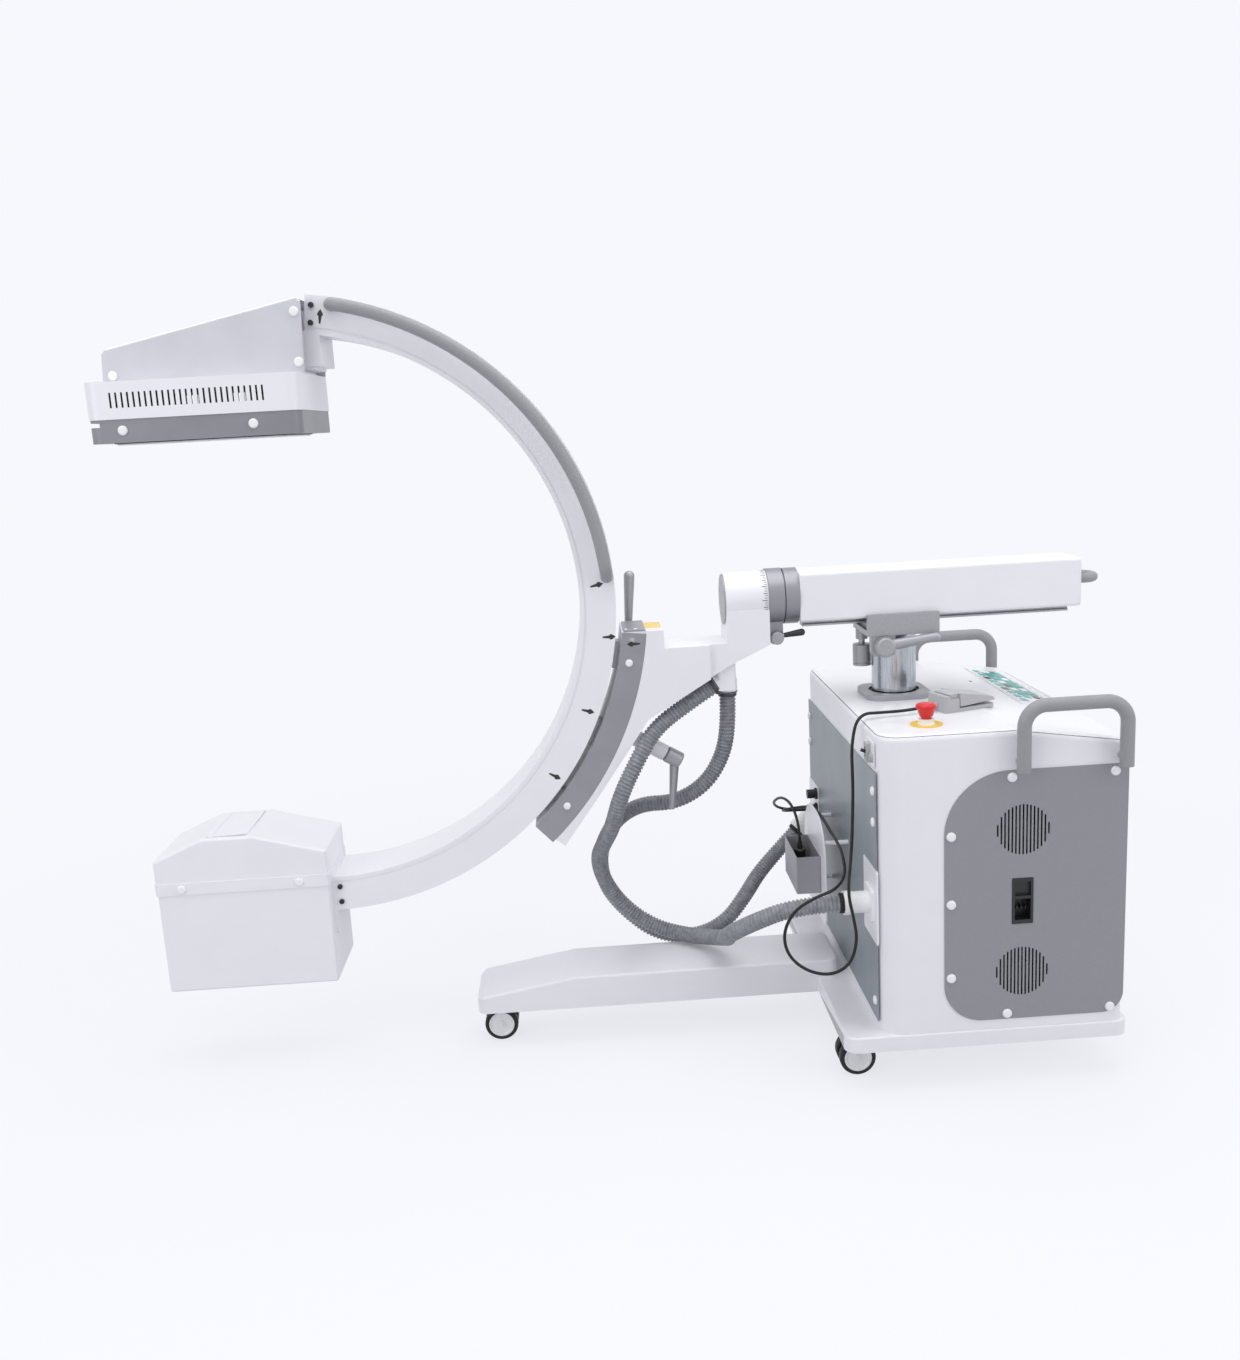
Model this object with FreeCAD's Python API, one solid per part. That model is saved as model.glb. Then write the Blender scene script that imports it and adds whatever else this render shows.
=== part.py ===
import FreeCAD, Part
import math
import os
from FreeCAD import Vector as V

# Mobile C-arm X-ray unit, in millimetres, +Z up.
# Every piece is drawn with the lifting column's axis at x = 0, y = 0, and +X towards the push handles.
# It is then moved by COLUMN_X, so that the origin is on the floor below the middle of the unit.
COLUMN_X = 588.0

# General fits
GAP = 0.3
SHAFT_FIT = 0.05

# Casters
WHEEL_D = 75.0
WHEEL_W = 21.0
TYRE_T = 8.0
CASTER_CORE_W = 14.0
CASTER_TRAIL = 24.0
CASTER_STEM_D = 26.0
CASTER_PLATE = 74.0
CASTER_PLATE_T = 4.0
CASTER_MOUNT_Z = 118.0
AXLE_D = 8.0
FRONT_CASTER_X = -133.0
FRONT_CASTER_INSET = 105.0
REAR_CASTER_X = 318.0
REAR_CASTER_Y = 140.0
LEG_CASTER_X = -887.0

# Chassis tray and front leg
CHASSIS_FRONT = -197.0
CHASSIS_REAR = 378.0
CHASSIS_LIP = 2.0
CHASSIS_BOTTOM = 90.0
CHASSIS_H = 33.0
CHASSIS_R = 26.0
SHEET = 5.0
LEG_TIP_X = -957.0
LEG_W = 160.0
LEG_TOP = 163.0
LEG_TIP_TOP = 126.0
LEG_SLOPE_START = 221.0
LEG_HEEL = 47.0
LEG_R = 24.0

# Cabinet
CAB_FRONT = -124.0
CAB_REAR = 365.0
CAB_W = 730.0
CHASSIS_W = CAB_W + 2 * CHASSIS_LIP
CAB_TOP = 742.0
CAB_SLOPE_X = 140.0
CAB_REAR_TOP = 708.0
CAB_WALL = 4.0
CAB_FRONT_R = 46.0
CAB_REAR_R = 18.0
CAB_EDGE_R = 15.0

# Side panels with fan grilles and the mains inlet
PANEL_T = 2.0
PANEL_X0 = 2.0
PANEL_Z0 = 144.0
PANEL_H = 517.0
PANEL_TOP_R = 128.0
PANEL_LOW_FRONT_R = 78.0
PANEL_LOW_REAR_R = 43.0
FAN_X = 157.0
FAN_UPPER_Z = 540.0
FAN_LOWER_Z = 245.0
GRILLE_R = 54.0
GRILLE_SLOT = 3.4
GRILLE_PITCH = 7.2
FAN_SIZE = 120.0
FAN_DEPTH = 25.0
FAN_BLADES = 7
INLET_Z = 393.0
INLET_W = 42.0
INLET_H = 95.0
SCREW_D = 19.0
SCREW_H = 5.0

# Front face
FRONT_T = 2.0
FRONT_PANEL_INSET = 25.0
FRONT_PANEL_Z0 = 143.0
FRONT_PANEL_Z1 = 664.0
LINK_PLATE_Y = CAB_W / 2 - 74.0
LINK_PLATE_W = 112.0
LINK_PLATE_H = 156.0
LINK_PLATE_Z = 386.0
LINK_PLATE_T = 3.0
HOSE_D = 36.0
HOSE_SOCKET_D = 44.0
HOSE_SOCKET_L = 56.0
SOCKET_FLANGE = 66.0
SOCKET_FLANGE_T = 6.0
ROUND_FLANGE_D = 54.0
JACK_D = 22.0
JACK_L = 24.0
JACK_Y = CAB_W / 2 - 109.0
JACK_UPPER_Z = 445.0
JACK_LOWER_Z = 407.0
BREAKER_Y = 63.0 - CAB_W / 2
BREAKER_WINDOW = 22.0
START_TRAVEL = 1.5
BREAKER_Z = 697.0
HANGER_X = -183.0
HANGER_T = 4.0
HANGER_Y0 = -108.0
HANGER_Y1 = 122.0
HANGER_Z0 = 258.0
HANGER_Z1 = 488.0
HANGER_R = 92.0
ROD_D = 10.0
POCKET_L = 54.0
POCKET_W = 152.0
POCKET_H = 84.0
POCKET_TOP = 402.0
POCKET_WALL = 2.0

# Top of the cabinet
STOP_X = -10.0
STOP_Y = 78.0 - CAB_W / 2
STOP_PLATE_D = 64.0
STOP_CAP_D = 41.0
STOP_TRAVEL = 4.0
PEDAL_L = 118.0
PEDAL_W = 66.0
PEDAL_H = 38.0
PEDAL_X = 97.0
PEDAL_Y = -165.0
PEDAL_TURN = 18.0
PEDAL_SWING = 4.0
PEDAL_BASE_T = 8.0
PEDAL_HEEL = 12.0
PEDAL_CHEEK = 5.0
PEDAL_PIN_X = -PEDAL_L / 2 + 24
PEDAL_PIN_Z = 21.0
KEYPAD_L = 104.0
KEYPAD_W = 400.0
KEYPAD_T = 1.6
KEYPAD_Y = 98.0

# Push handles
HANDLE_D = 27.0
HANDLE_X0 = 149.0
HANDLE_X1 = 348.0
HANDLE_TOP = 791.0
HANDLE_FOOT = 662.0
HANDLE_BEND = 42.0

# Column
FLANGE = 142.0
FLANGE_T = 12.0
FLANGE_R = 34.0
COLUMN_D = 94.6
COLUMN_BORE = 76.0
COLUMN_BOTTOM = 200.0
GUIDE_TUBE_WALL = 9.0
SEAL_D = 108.0
PIVOT_D = 50.0
WASHER_T = 4.0
LIFT_TRAVEL = 400.0
ACTUATOR_D = 60.0
ACTUATOR_ROD_D = 28.0

# Saddle
SADDLE_X0 = -72.0
SADDLE_X1 = 82.0
SADDLE_W = 136.0
SADDLE_BOTTOM = 884.0
SADDLE_FLOOR = 12.0
SADDLE_LIP = 9.0
SADDLE_WALL = 9.0
LOCK_X = -38.0
LOCK_Z = 862.0
LOCK_HUB_D = 42.0
LOCK_ARM_L = 110.0
KNOB_X = -60.0
KNOB_Y = 40.0
KNOB_D = 40.0
KNOB_L = 48.0

# Arm
AXIS_Z = 973.0
ARM_X0 = -211.0
ARM_X1 = 387.0
ARM_W = 111.0
ARM_H = 104.0
ARM_WALL = 5.0
ARM_EDGE_R = 7.0
ARM_SLIDE = 100.0
RAIL_W = 34.0
RAIL_H = 15.0
END_HANDLE_D = 21.0
END_HANDLE_W = 84.0
END_HANDLE_L = 54.0
RING_D = 120.0
RING_L = 30.0
COLLAR_L = 33.0
RING_GAP = 3.0
COLLAR_D = 122.0
DRUM_D = 114.0
DRUM_L = 91.0
DRUM_NECK_D = 92.0
SHAFT_D = 50.0
CAP_D = 108.0
CAP_T = 3.0
CLAMP_Z = 889.0

# C profile: its section, and its circle, which is centred from the shoe's running face
C_Z = 997.0
C_R = 643.0
SHOE_X = -588.0
SHOE_GAP = 13.0
C_X = SHOE_X - C_R - SHOE_GAP
C_DEPTH = 75.0
C_WIDTH = 142.0
C_TOP_ANGLE = 84.3
C_LOW_ANGLE = -90.0
TRACK_MOUTH = 70.0
TRACK_W = 112.0
TRACK_LIP = 12.0
TRACK_DEPTH = 30.0
C_HANDLE_D = 26.0
C_HANDLE_R = C_R - 15.0
C_HANDLE_OFF = 34.0
C_HANDLE_A0 = 7.0
C_HANDLE_A1 = 77.0

# Carriage
CARR_R0 = C_R + SHOE_GAP
CARR_R1 = CARR_R0 + 52.0
CARR_R2 = CARR_R1 + 25.0
CARR_TOP_ANGLE = -6.3
CARR_LOW_ANGLE = -47.5
CARR_W = 140.0
CARR_PLATE_T = 4.0
DECK_Z = 925.0
DECK_X1 = -504.0
STEP_Z = 886.0
NECK_W = 114.0
ROLLER_D = 29.2
ROLLER_W = 18.0
BOGIE_W = 36.0
BRAKE_SHAFT_D = 24.0
BRAKE_HUB_D = 36.0
BRAKE_BUSH_L = 84.0
SIDE_LEVER_R = CARR_R0 + 22.0
SIDE_LEVER_ANGLE = -7.5

# Detector, placed from the C's centre
DET_X0 = -362.0
DET_X1 = 52.0
DET_W = 314.0
DET_BAND_Z1 = C_R - 153.0
DET_BAND_Z0 = DET_BAND_Z1 - 72.0
DET_RIM_Z0 = DET_BAND_Z0 - 45.0
DET_WALL = 4.0
DET_R = 26.0
VENT_COUNT = 27
VENT_PITCH = 11.2
VENT_W = 3.6
VENT_H = 29.0
VENT_X0 = -311.0
HOOD_W = 220.0
HOOD_X0 = -336.0
HOOD_X1 = 62.0
HOOD_HIGH = C_R - 10.0
HOOD_LOW = HOOD_HIGH - 80.0

# Tube unit, placed from the C's centre
TUBE_X0 = -374.0
TUBE_X1 = -3.0
TUBE_W = 200.0
TUBE_Z1 = 67.0 - C_R
TUBE_Z0 = TUBE_Z1 - 222.0
TUBE_FLANGE_H = 26.0
TUBE_LID_SIDE = 50.0
TUBE_LID_TOP = TUBE_Z1 + 120.0
TUBE_WALL = 4.0
TANK_H = 150.0
BOLT_D = 11.0
BOLT_ROWS = (53.0, 19.0)

# Cords: the points of each one, joined by arcs as large as its runs allow
CABLE_D = 6.5
HOSE_NEAR = [
    (-396, -26, 792), (-453, -29, 758), (-532, -51, 710), (-573, -77, 650), (-615, -83, 573), (-635, -55, 495),
    (-654, 0, 444), (-672, 65, 385), (-658, 103, 311), (-614, 114, 241), (-546, 100, 193), (-471, 66, 181),
    (-413, 8, 196), (-389, -66, 226), (-414, -179, 277), (-371, -258, 336), (-279, -293, 383), (-183, -293, 383),
]
HOSE_FAR = [
    (-364, 24, 764), (-364, 24, 697), (-377, 34, 618), (-420, 38, 550), (-489, 52, 509), (-566, 87, 501),
    (-628, 117, 455), (-667, 134, 376), (-659, 149, 287), (-607, 155, 212), (-540, 131, 164), (-455, 129, 149),
    (-375, 150, 170), (-318, 187, 224), (-282, 239, 252), (-228, 275, 294), (-172, 287, 346),
]
PEDAL_CABLE = [
    (24, -189, 754), (-22, -204, 752), (-76, -208, 752), (-132, -228, 757), (-152, -252, 700), (-154, -272, 625),
    (-160, -288, 548), (-168, -304, 478), (-180, -325, 417), (-170, -329, 365), (-163, -329, 318),
    (-176, -329, 268), (-214, -329, 245), (-262, -329, 255), (-302, -329, 290), (-313, -329, 338),
    (-292, -329, 386), (-246, -326, 412), (-200, -308, 418), (-170, -262, 430), (-163, -205, 452),
    (-161, -140, 459), (-165, -75, 466), (-161, -5, 463), (-165, 60, 467), (-170, 130, 456), (-226, 190, 430),
    (-206, 251.5, 407), (-151, 251.5, 407),
]
SWITCH_CABLE = [
    (-210, 37, 404), (-210, 37, 440), (-219, 78, 480), (-234, 134, 482), (-246, 190, 452), (-228, 246, 420),
    (-196, 260.5, 407), (-151, 260.5, 407),
]


def box(x0, x1, y0, y1, z0, z1):
    return Part.makeBox(x1 - x0, y1 - y0, z1 - z0, V(x0, y0, z0))


def rod(p, d, length, diameter):
    return Part.makeCylinder(diameter / 2, length, V(*p), V(*d))


def ring(p, d, length, outer, inner):
    return rod(p, d, length, outer).cut(rod(p, d, length, inner))


def face_xz(points, y):
    return Part.Face(Part.makePolygon([V(x, y, z) for x, z in points + points[:1]]))


def prism_y(points, width, y_mid=0.0):
    return face_xz(points, y_mid - width / 2).extrude(V(0, width, 0))


def fillet_where(shape, radius, keep):
    edges = [e for e in shape.Edges if keep(e)]
    return shape.makeFillet(radius, edges) if edges else shape


def along(edge, axis):
    if edge.Curve.TypeId != "Part::GeomLine":
        return False
    d = edge.Curve.Direction
    return abs(abs(getattr(d, axis)) - 1) < 1e-6


def mid(edge):
    return edge.valueAt((edge.FirstParameter + edge.LastParameter) / 2)


def rounded_plate(x0, x1, y0, y1, z0, z1, radius):
    return fillet_where(box(x0, x1, y0, y1, z0, z1), radius, lambda e: along(e, "z"))


def polar(radius, angle, y=0.0):
    a = math.radians(angle)
    return V(C_X + radius * math.cos(a), y, C_Z + radius * math.sin(a))


def sector(r0, r1, a0, a1, y0, y1):
    """A slice of a ring about the C's centre, from angle a0 up to a1."""
    m = (a0 + a1) / 2
    edges = [
        Part.Arc(polar(r1, a0, y0), polar(r1, m, y0), polar(r1, a1, y0)).toShape(),
        Part.LineSegment(polar(r1, a1, y0), polar(r0, a1, y0)).toShape(),
        Part.Arc(polar(r0, a1, y0), polar(r0, m, y0), polar(r0, a0, y0)).toShape(),
        Part.LineSegment(polar(r0, a0, y0), polar(r1, a0, y0)).toShape(),
    ]
    return Part.Face(Part.Wire(edges)).extrude(V(0, y1 - y0, 0))


def bent_path(points, radii):
    """Straight runs joined by tangent arcs at the inner points."""
    edges, start = [], points[0]
    for i in range(1, len(points) - 1):
        a, b, c = points[i - 1], points[i], points[i + 1]
        u, w = (a - b).normalize(), (c - b).normalize()
        half = math.acos(max(-1.0, min(1.0, -u.dot(w)))) / 2
        cut = radii[i - 1] * math.tan(half)
        p, q = b + u * cut, b + w * cut
        centre = b + (u + w).normalize() * (radii[i - 1] / math.cos(half))
        middle = centre + (b - centre).normalize() * radii[i - 1]
        if (p - start).Length > 1e-6:
            edges.append(Part.LineSegment(start, p).toShape())
        edges.append(Part.Arc(p, middle, q).toShape())
        start = q
    edges.append(Part.LineSegment(start, points[-1]).toShape())
    return Part.Wire(edges)


def pipe(points, radii, diameter):
    wire = bent_path(points, radii)
    first = wire.Edges[0]
    direction = first.tangentAt(first.FirstParameter)
    profile = Part.Wire(Part.makeCircle(diameter / 2, points[0], direction))
    return wire.makePipeShell([profile], True, False)


def cord(name, points, diameter):
    """A free cord: every arc as large as its two runs allow."""
    radii = []
    for a, b, c in zip(points, points[1:], points[2:]):
        u, w = (a - b), (c - b)
        turn = math.pi - u.getAngle(w)
        radii.append(0.45 * min(u.Length, w.Length) / math.tan(turn / 2))
    shape = pipe(points, radii, diameter)
    wire = bent_path(points, radii)
    ideal = math.pi * diameter**2 / 4 * wire.Length
    print(name, "length %.0f" % wire.Length, "radii", [round(r) for r in radii])
    print(name, "volume ratio %.4f" % (shape.Volume / ideal), "valid", shape.isValid())
    return shape


def dome_screw(p, d, diameter=SCREW_D, height=SCREW_H):
    """A screw's domed cap, seated with its flat side at p."""
    head = rod(p, d, height, diameter)
    top = [e for e in head.Edges if e.Curve.TypeId == "Part::GeomCircle"]
    far = max(top, key=lambda e: (e.Curve.Center - V(*p)).dot(V(*d)))
    return head.makeFillet(height * 0.8, [far])


def mirrored(shape):
    return shape.mirror(V(0, 0, 0), V(0, 1, 0))


def group(shapes):
    return Part.makeCompound(shapes)


# Casters

def caster_mounts():
    leg = (LEG_CASTER_X, 0.0)
    front_y = CHASSIS_W / 2 - FRONT_CASTER_INSET
    front = [(FRONT_CASTER_X, s * front_y) for s in (-1, 1)]
    rear = [(REAR_CASTER_X, s * REAR_CASTER_Y) for s in (-1, 1)]
    return [leg] + front + rear


def caster_plate(x, y):
    h = CASTER_PLATE / 2
    z1 = CASTER_MOUNT_Z
    plate = rounded_plate(x - h, x + h, y - h, y + h, z1 - CASTER_PLATE_T, z1, 10)
    pin_z = WHEEL_D + 4
    return plate.fuse(rod((x, y, pin_z), (0, 0, 1), z1 - CASTER_PLATE_T - pin_z, CASTER_STEM_D / 2))


def caster_fork(x, y):
    """The swivel head: a hood between the two wheels, and a boss that turns on the plate's pin."""
    r = WHEEL_D / 2
    wx = x - CASTER_TRAIL
    w = CASTER_CORE_W
    boss_z1 = CASTER_MOUNT_Z - CASTER_PLATE_T - GAP
    hood = rod((wx, y - w / 2, r), (0, 1, 0), w, WHEEL_D - 2 * TYRE_T)
    hood = hood.fuse(box(wx, x + CASTER_STEM_D / 2, y - w / 2, y + w / 2, r, r + 30))
    boss = rod((x, y, r + 20), (0, 0, 1), boss_z1 - r - 20, CASTER_STEM_D + 10)
    fork = hood.fuse(boss)
    for s in (-1, 1):
        y0 = y + s * w / 2
        cut_w = CASTER_STEM_D
        lo, hi = (y0, y0 + cut_w) if s > 0 else (y0 - cut_w, y0)
        fork = fork.cut(rod((wx, lo, r), (0, 1, 0), hi - lo, WHEEL_D + 4))
    pin_z = WHEEL_D + 4
    bore = CASTER_STEM_D / 2 + 2 * SHAFT_FIT
    fork = fork.cut(rod((x, y, pin_z - 1), (0, 0, 1), boss_z1, bore))
    return fork.cut(rod((wx, y - w, r), (0, 1, 0), 2 * w, AXLE_D + 2 * SHAFT_FIT))


def caster_tyres(x, y):
    r = WHEEL_D / 2
    wx = x - CASTER_TRAIL
    gap = CASTER_CORE_W / 2 + 1.0
    tyres = []
    for s in (-1, 1):
        y0 = y + (gap if s > 0 else -gap - WHEEL_W)
        tyre = ring((wx, y0, r), (0, 1, 0), WHEEL_W, WHEEL_D, WHEEL_D - 2 * TYRE_T)
        outer = [e for e in tyre.Edges if e.Curve.TypeId == "Part::GeomCircle"
                 and abs(e.Curve.Radius - r) < 1e-6]
        tyres.append(tyre.makeFillet(4.0, outer))
    return group(tyres)


def caster_discs(x, y):
    """Two wheel discs and the axle that joins them through the hood."""
    r = WHEEL_D / 2
    wx = x - CASTER_TRAIL
    gap = CASTER_CORE_W / 2 + 1.0
    reach = gap + WHEEL_W
    inner = WHEEL_D - 2 * TYRE_T
    body = rod((wx, y - reach, r), (0, 1, 0), 2 * reach, AXLE_D)
    for s in (-1, 1):
        y0 = y + (gap if s > 0 else -gap - WHEEL_W)
        disc = rod((wx, y0, r), (0, 1, 0), WHEEL_W, inner)
        dish_y = y + s * (reach - 3.0)
        dish = Part.makeCone(inner / 2 - 8, inner / 2 - 4, 3.0, V(wx, dish_y, r), V(0, s, 0))
        disc = disc.cut(dish).fuse(rod((wx, dish_y, r), (0, s, 0), 2.0, 16))
        body = body.fuse(disc)
    return body.removeSplitter()


# Chassis tray and leg

def make_chassis():
    z0, z1 = CHASSIS_BOTTOM, CHASSIS_BOTTOM + CHASSIS_H
    hw = CHASSIS_W / 2
    tray = rounded_plate(CHASSIS_FRONT, CHASSIS_REAR, -hw, hw, z0, z1, CHASSIS_R)
    tray = fillet_where(tray, 4.0, lambda e: abs(mid(e).z - z1) < 1e-6)
    hollow = rounded_plate(CHASSIS_FRONT + SHEET, CHASSIS_REAR - SHEET, -hw + SHEET, hw - SHEET,
                           z0, z1 - SHEET, CHASSIS_R - SHEET)
    tray = tray.cut(hollow)
    rib = REAR_CASTER_Y + CASTER_PLATE / 2 + 2
    for y0 in (-rib - SHEET, rib):
        tray = tray.fuse(box(CHASSIS_FRONT + SHEET, CHASSIS_REAR - SHEET, y0, y0 + SHEET, z0 + 6, z1 - SHEET))
    return tray.cut(leg_block()).removeSplitter()


def leg_block():
    """The leg's outer form, which also cuts its notch in the tray."""
    x1 = CHASSIS_FRONT + LEG_HEEL
    slope_x = LEG_TIP_X + LEG_SLOPE_START
    points = [(LEG_TIP_X, CHASSIS_BOTTOM), (LEG_TIP_X, LEG_TIP_TOP - 6), (LEG_TIP_X + 14, LEG_TIP_TOP + 3),
              (slope_x, LEG_TOP), (x1, LEG_TOP), (x1, CHASSIS_BOTTOM)]
    return fillet_where(prism_y(points, LEG_W), LEG_R, lambda e: along(e, "z"))


def make_leg():
    x1 = CHASSIS_FRONT + LEG_HEEL
    outer = leg_block()
    leg = fillet_where(outer, 5.0, lambda e: mid(e).z > LEG_TIP_TOP and not along(e, "z")
                       and (abs(abs(mid(e).y) - LEG_W / 2) < LEG_R) and abs(mid(e).y) > 1)
    slope_x = LEG_TIP_X + LEG_SLOPE_START
    inner = [(LEG_TIP_X + SHEET, CHASSIS_BOTTOM), (LEG_TIP_X + SHEET, LEG_TIP_TOP - 8),
             (slope_x, LEG_TOP - SHEET), (x1 - SHEET, LEG_TOP - SHEET), (x1 - SHEET, CHASSIS_BOTTOM)]
    hollow = prism_y(inner, LEG_W - 2 * SHEET)
    hollow = fillet_where(hollow, LEG_R - SHEET, lambda e: along(e, "z"))
    seat = box(LEG_TIP_X + SHEET, LEG_CASTER_X + CASTER_PLATE / 2 + SHEET, -LEG_W / 2 + 1, LEG_W / 2 - 1,
               CASTER_MOUNT_Z, LEG_TOP)
    seat = seat.common(leg)
    return leg.cut(hollow).fuse(seat).removeSplitter()


# Cabinet

def cabinet_profile(inset):
    x0, x1 = CAB_FRONT + inset, CAB_REAR - inset
    z0 = CHASSIS_BOTTOM + CHASSIS_H
    slope = (CAB_TOP - CAB_REAR_TOP) / (CAB_REAR - CAB_SLOPE_X)
    rear_z = CAB_TOP - inset - slope * (x1 - CAB_SLOPE_X)
    return [(x0, z0), (x0, CAB_TOP - inset), (CAB_SLOPE_X, CAB_TOP - inset), (x1, rear_z), (x1, z0)]


def cabinet_block(inset):
    block = prism_y(cabinet_profile(inset), CAB_W - 2 * inset)
    block = fillet_where(block, CAB_FRONT_R - inset,
                         lambda e: along(e, "z") and mid(e).x < CAB_FRONT + inset + 1)
    return fillet_where(block, CAB_REAR_R - inset,
                        lambda e: along(e, "z") and mid(e).x > CAB_REAR - inset - 1)


def make_cabinet():
    floor_z = CHASSIS_BOTTOM + CHASSIS_H
    block = cabinet_block(0.0)

    def rim(e):
        m = mid(e)
        return m.z > CAB_REAR_TOP - 1 and not along(e, "z") and not (
            along(e, "y") and abs(m.x - CAB_SLOPE_X) < 1)

    shell = fillet_where(block, CAB_EDGE_R, rim)
    shell = shell.cut(cabinet_block(CAB_WALL))
    shell = shell.cut(rod((0, 0, CAB_TOP - 30), (0, 0, 1), 60, SEAL_D + 2 * GAP))
    for s in (-1, 1):
        for z in (FAN_UPPER_Z, FAN_LOWER_Z):
            y0 = s * CAB_W / 2
            shell = shell.cut(rod((FAN_X, y0 - s * 2 * CAB_WALL, z), (0, s, 0), 4 * CAB_WALL, 2 * GRILLE_R))
    y0 = -CAB_W / 2
    shell = shell.cut(box(FAN_X - INLET_W / 2, FAN_X + INLET_W / 2, y0 - 1, y0 + 2 * CAB_WALL,
                          INLET_Z - INLET_H / 2, INLET_Z + INLET_H / 2))
    flange = [(CAB_FRONT + CAB_WALL, CAB_FRONT + CAB_WALL + 16), (CAB_REAR - CAB_WALL - 16, CAB_REAR - CAB_WALL)]
    for x0, x1 in flange:
        shell = shell.fuse(box(x0, x1, -CAB_W / 2 + CAB_FRONT_R, CAB_W / 2 - CAB_FRONT_R,
                               floor_z, floor_z + CAB_WALL))
    return shell.removeSplitter()


def side_panel_outline(y, width):
    """Square at the upper rear corner, and a different round at each other corner."""
    x0, x1 = PANEL_X0, CAB_REAR - 2.0
    z0, z1 = PANEL_Z0, PANEL_Z0 + PANEL_H
    plate = box(x0, x1, y, y + width, z0, z1)
    corners = [(x0, z1, PANEL_TOP_R), (x0, z0, PANEL_LOW_FRONT_R), (x1, z0, PANEL_LOW_REAR_R)]
    for cx, cz, r in corners:
        plate = fillet_where(plate, r, lambda e: along(e, "y") and abs(mid(e).x - cx) < 1
                             and abs(mid(e).z - cz) < 1)
    return plate


def grille_cut(y, z):
    """Upright slots clipped by the grille's circle."""
    count = int(2 * (GRILLE_R - 3) / GRILLE_PITCH)
    slots = []
    for i in range(count + 1):
        dx = (i - count / 2) * GRILLE_PITCH
        half = math.sqrt(max(0.0, (GRILLE_R - 2) ** 2 - dx**2)) - 1
        if half < 6:
            continue
        x = FAN_X + dx
        slots.append(box(x - GRILLE_SLOT / 2, x + GRILLE_SLOT / 2, y - 1, y + PANEL_T + 1, z - half, z + half))
    return slots


def side_panel(with_inlet):
    y0 = -CAB_W / 2 - PANEL_T
    plate = side_panel_outline(y0, PANEL_T)
    for z in (FAN_UPPER_Z, FAN_LOWER_Z):
        for slot in grille_cut(y0, z):
            plate = plate.cut(slot)
    if with_inlet:
        plate = plate.cut(box(FAN_X - INLET_W / 2, FAN_X + INLET_W / 2, y0 - 1, y0 + PANEL_T + 1,
                              INLET_Z - INLET_H / 2, INLET_Z + INLET_H / 2))
    return plate


def side_screws():
    y0 = -CAB_W / 2 - PANEL_T
    x0, x1 = PANEL_X0 + 13, CAB_REAR - 2 - 27
    z0, z1 = PANEL_Z0 + 12, PANEL_Z0 + PANEL_H - 14
    spots = [(PANEL_X0 + PANEL_TOP_R + 4, z1), (x1, z1), (x0, 534), (x0, 394), (x0, 239),
             (x0 + 113, z0), (x1, z0)]
    return [dome_screw((x, y0, z), (0, -1, 0)) for x, z in spots]


def make_inlet():
    """Recessed mains socket: a frame, a pocket and three pins."""
    y0 = -CAB_W / 2 - PANEL_T
    x0, x1 = FAN_X - INLET_W / 2 + GAP, FAN_X + INLET_W / 2 - GAP
    z0, z1 = INLET_Z - INLET_H / 2 + GAP, INLET_Z + INLET_H / 2 - GAP
    body = box(x0, x1, y0 - 1.5, y0 + 34, z0, z1)
    body = fillet_where(body, 4, lambda e: along(e, "y"))
    body = body.cut(box(x0 + 5, x1 - 5, y0 - 2, y0 + 24, z0 + 8, z0 + 52))
    body = body.cut(box(x0 + 5, x1 - 5, y0 - 2, y0 + 6, z0 + 58, z1 - 7))
    for dx in (-9, 0, 9):
        body = body.fuse(box(FAN_X + dx - 1, FAN_X + dx + 1, y0 + 8, y0 + 25, z0 + 26, z0 + 34))
    return body


def fan_frame(z):
    """Square fan housing with a cross that carries the rotor's pin."""
    h = FAN_SIZE / 2
    y0 = -CAB_W / 2 + CAB_WALL
    y1 = y0 + FAN_DEPTH
    frame = rounded_plate_y(FAN_X - h, FAN_X + h, y0, y1, z - h, z + h, 8)
    frame = frame.cut(rod((FAN_X, y0, z), (0, 1, 0), FAN_DEPTH, FAN_SIZE - 6))
    inner_y = y1 - 4
    for a in (45, 135):
        bar = box(FAN_X - h + 1, FAN_X + h - 1, inner_y, inner_y + 4, z - 4, z + 4)
        bar.rotate(V(FAN_X, 0, z), V(0, 1, 0), a)
        frame = frame.fuse(bar.common(rod((FAN_X, inner_y, z), (0, 1, 0), 4, FAN_SIZE - 4)))
    frame = frame.fuse(rod((FAN_X, inner_y, z), (0, 1, 0), 4, 40))
    return frame.fuse(rod((FAN_X, inner_y - 14, z), (0, 1, 0), 14, 8)).removeSplitter()


def rounded_plate_y(x0, x1, y0, y1, z0, z1, radius):
    return fillet_where(box(x0, x1, y0, y1, z0, z1), radius, lambda e: along(e, "y"))


def fan_rotor(z):
    y0 = -CAB_W / 2 + CAB_WALL + 3
    depth = FAN_DEPTH - 9
    hub = rod((FAN_X, y0, z), (0, 1, 0), depth - 1, 38)
    tip = FAN_SIZE / 2 - 5
    for i in range(FAN_BLADES):
        blade = box(FAN_X + 16, FAN_X + tip, y0 + 4, y0 + 6, z - 9, z + 9)
        blade.rotate(V(FAN_X, y0 + 5, z), V(1, 0, 0), 32)
        blade.rotate(V(FAN_X, 0, z), V(0, 1, 0), 360.0 / FAN_BLADES * i)
        hub = hub.fuse(blade)
    return hub.cut(rod((FAN_X, y0 - 1, z), (0, 1, 0), depth + 2, 8 + 2 * SHAFT_FIT)).removeSplitter()


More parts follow.
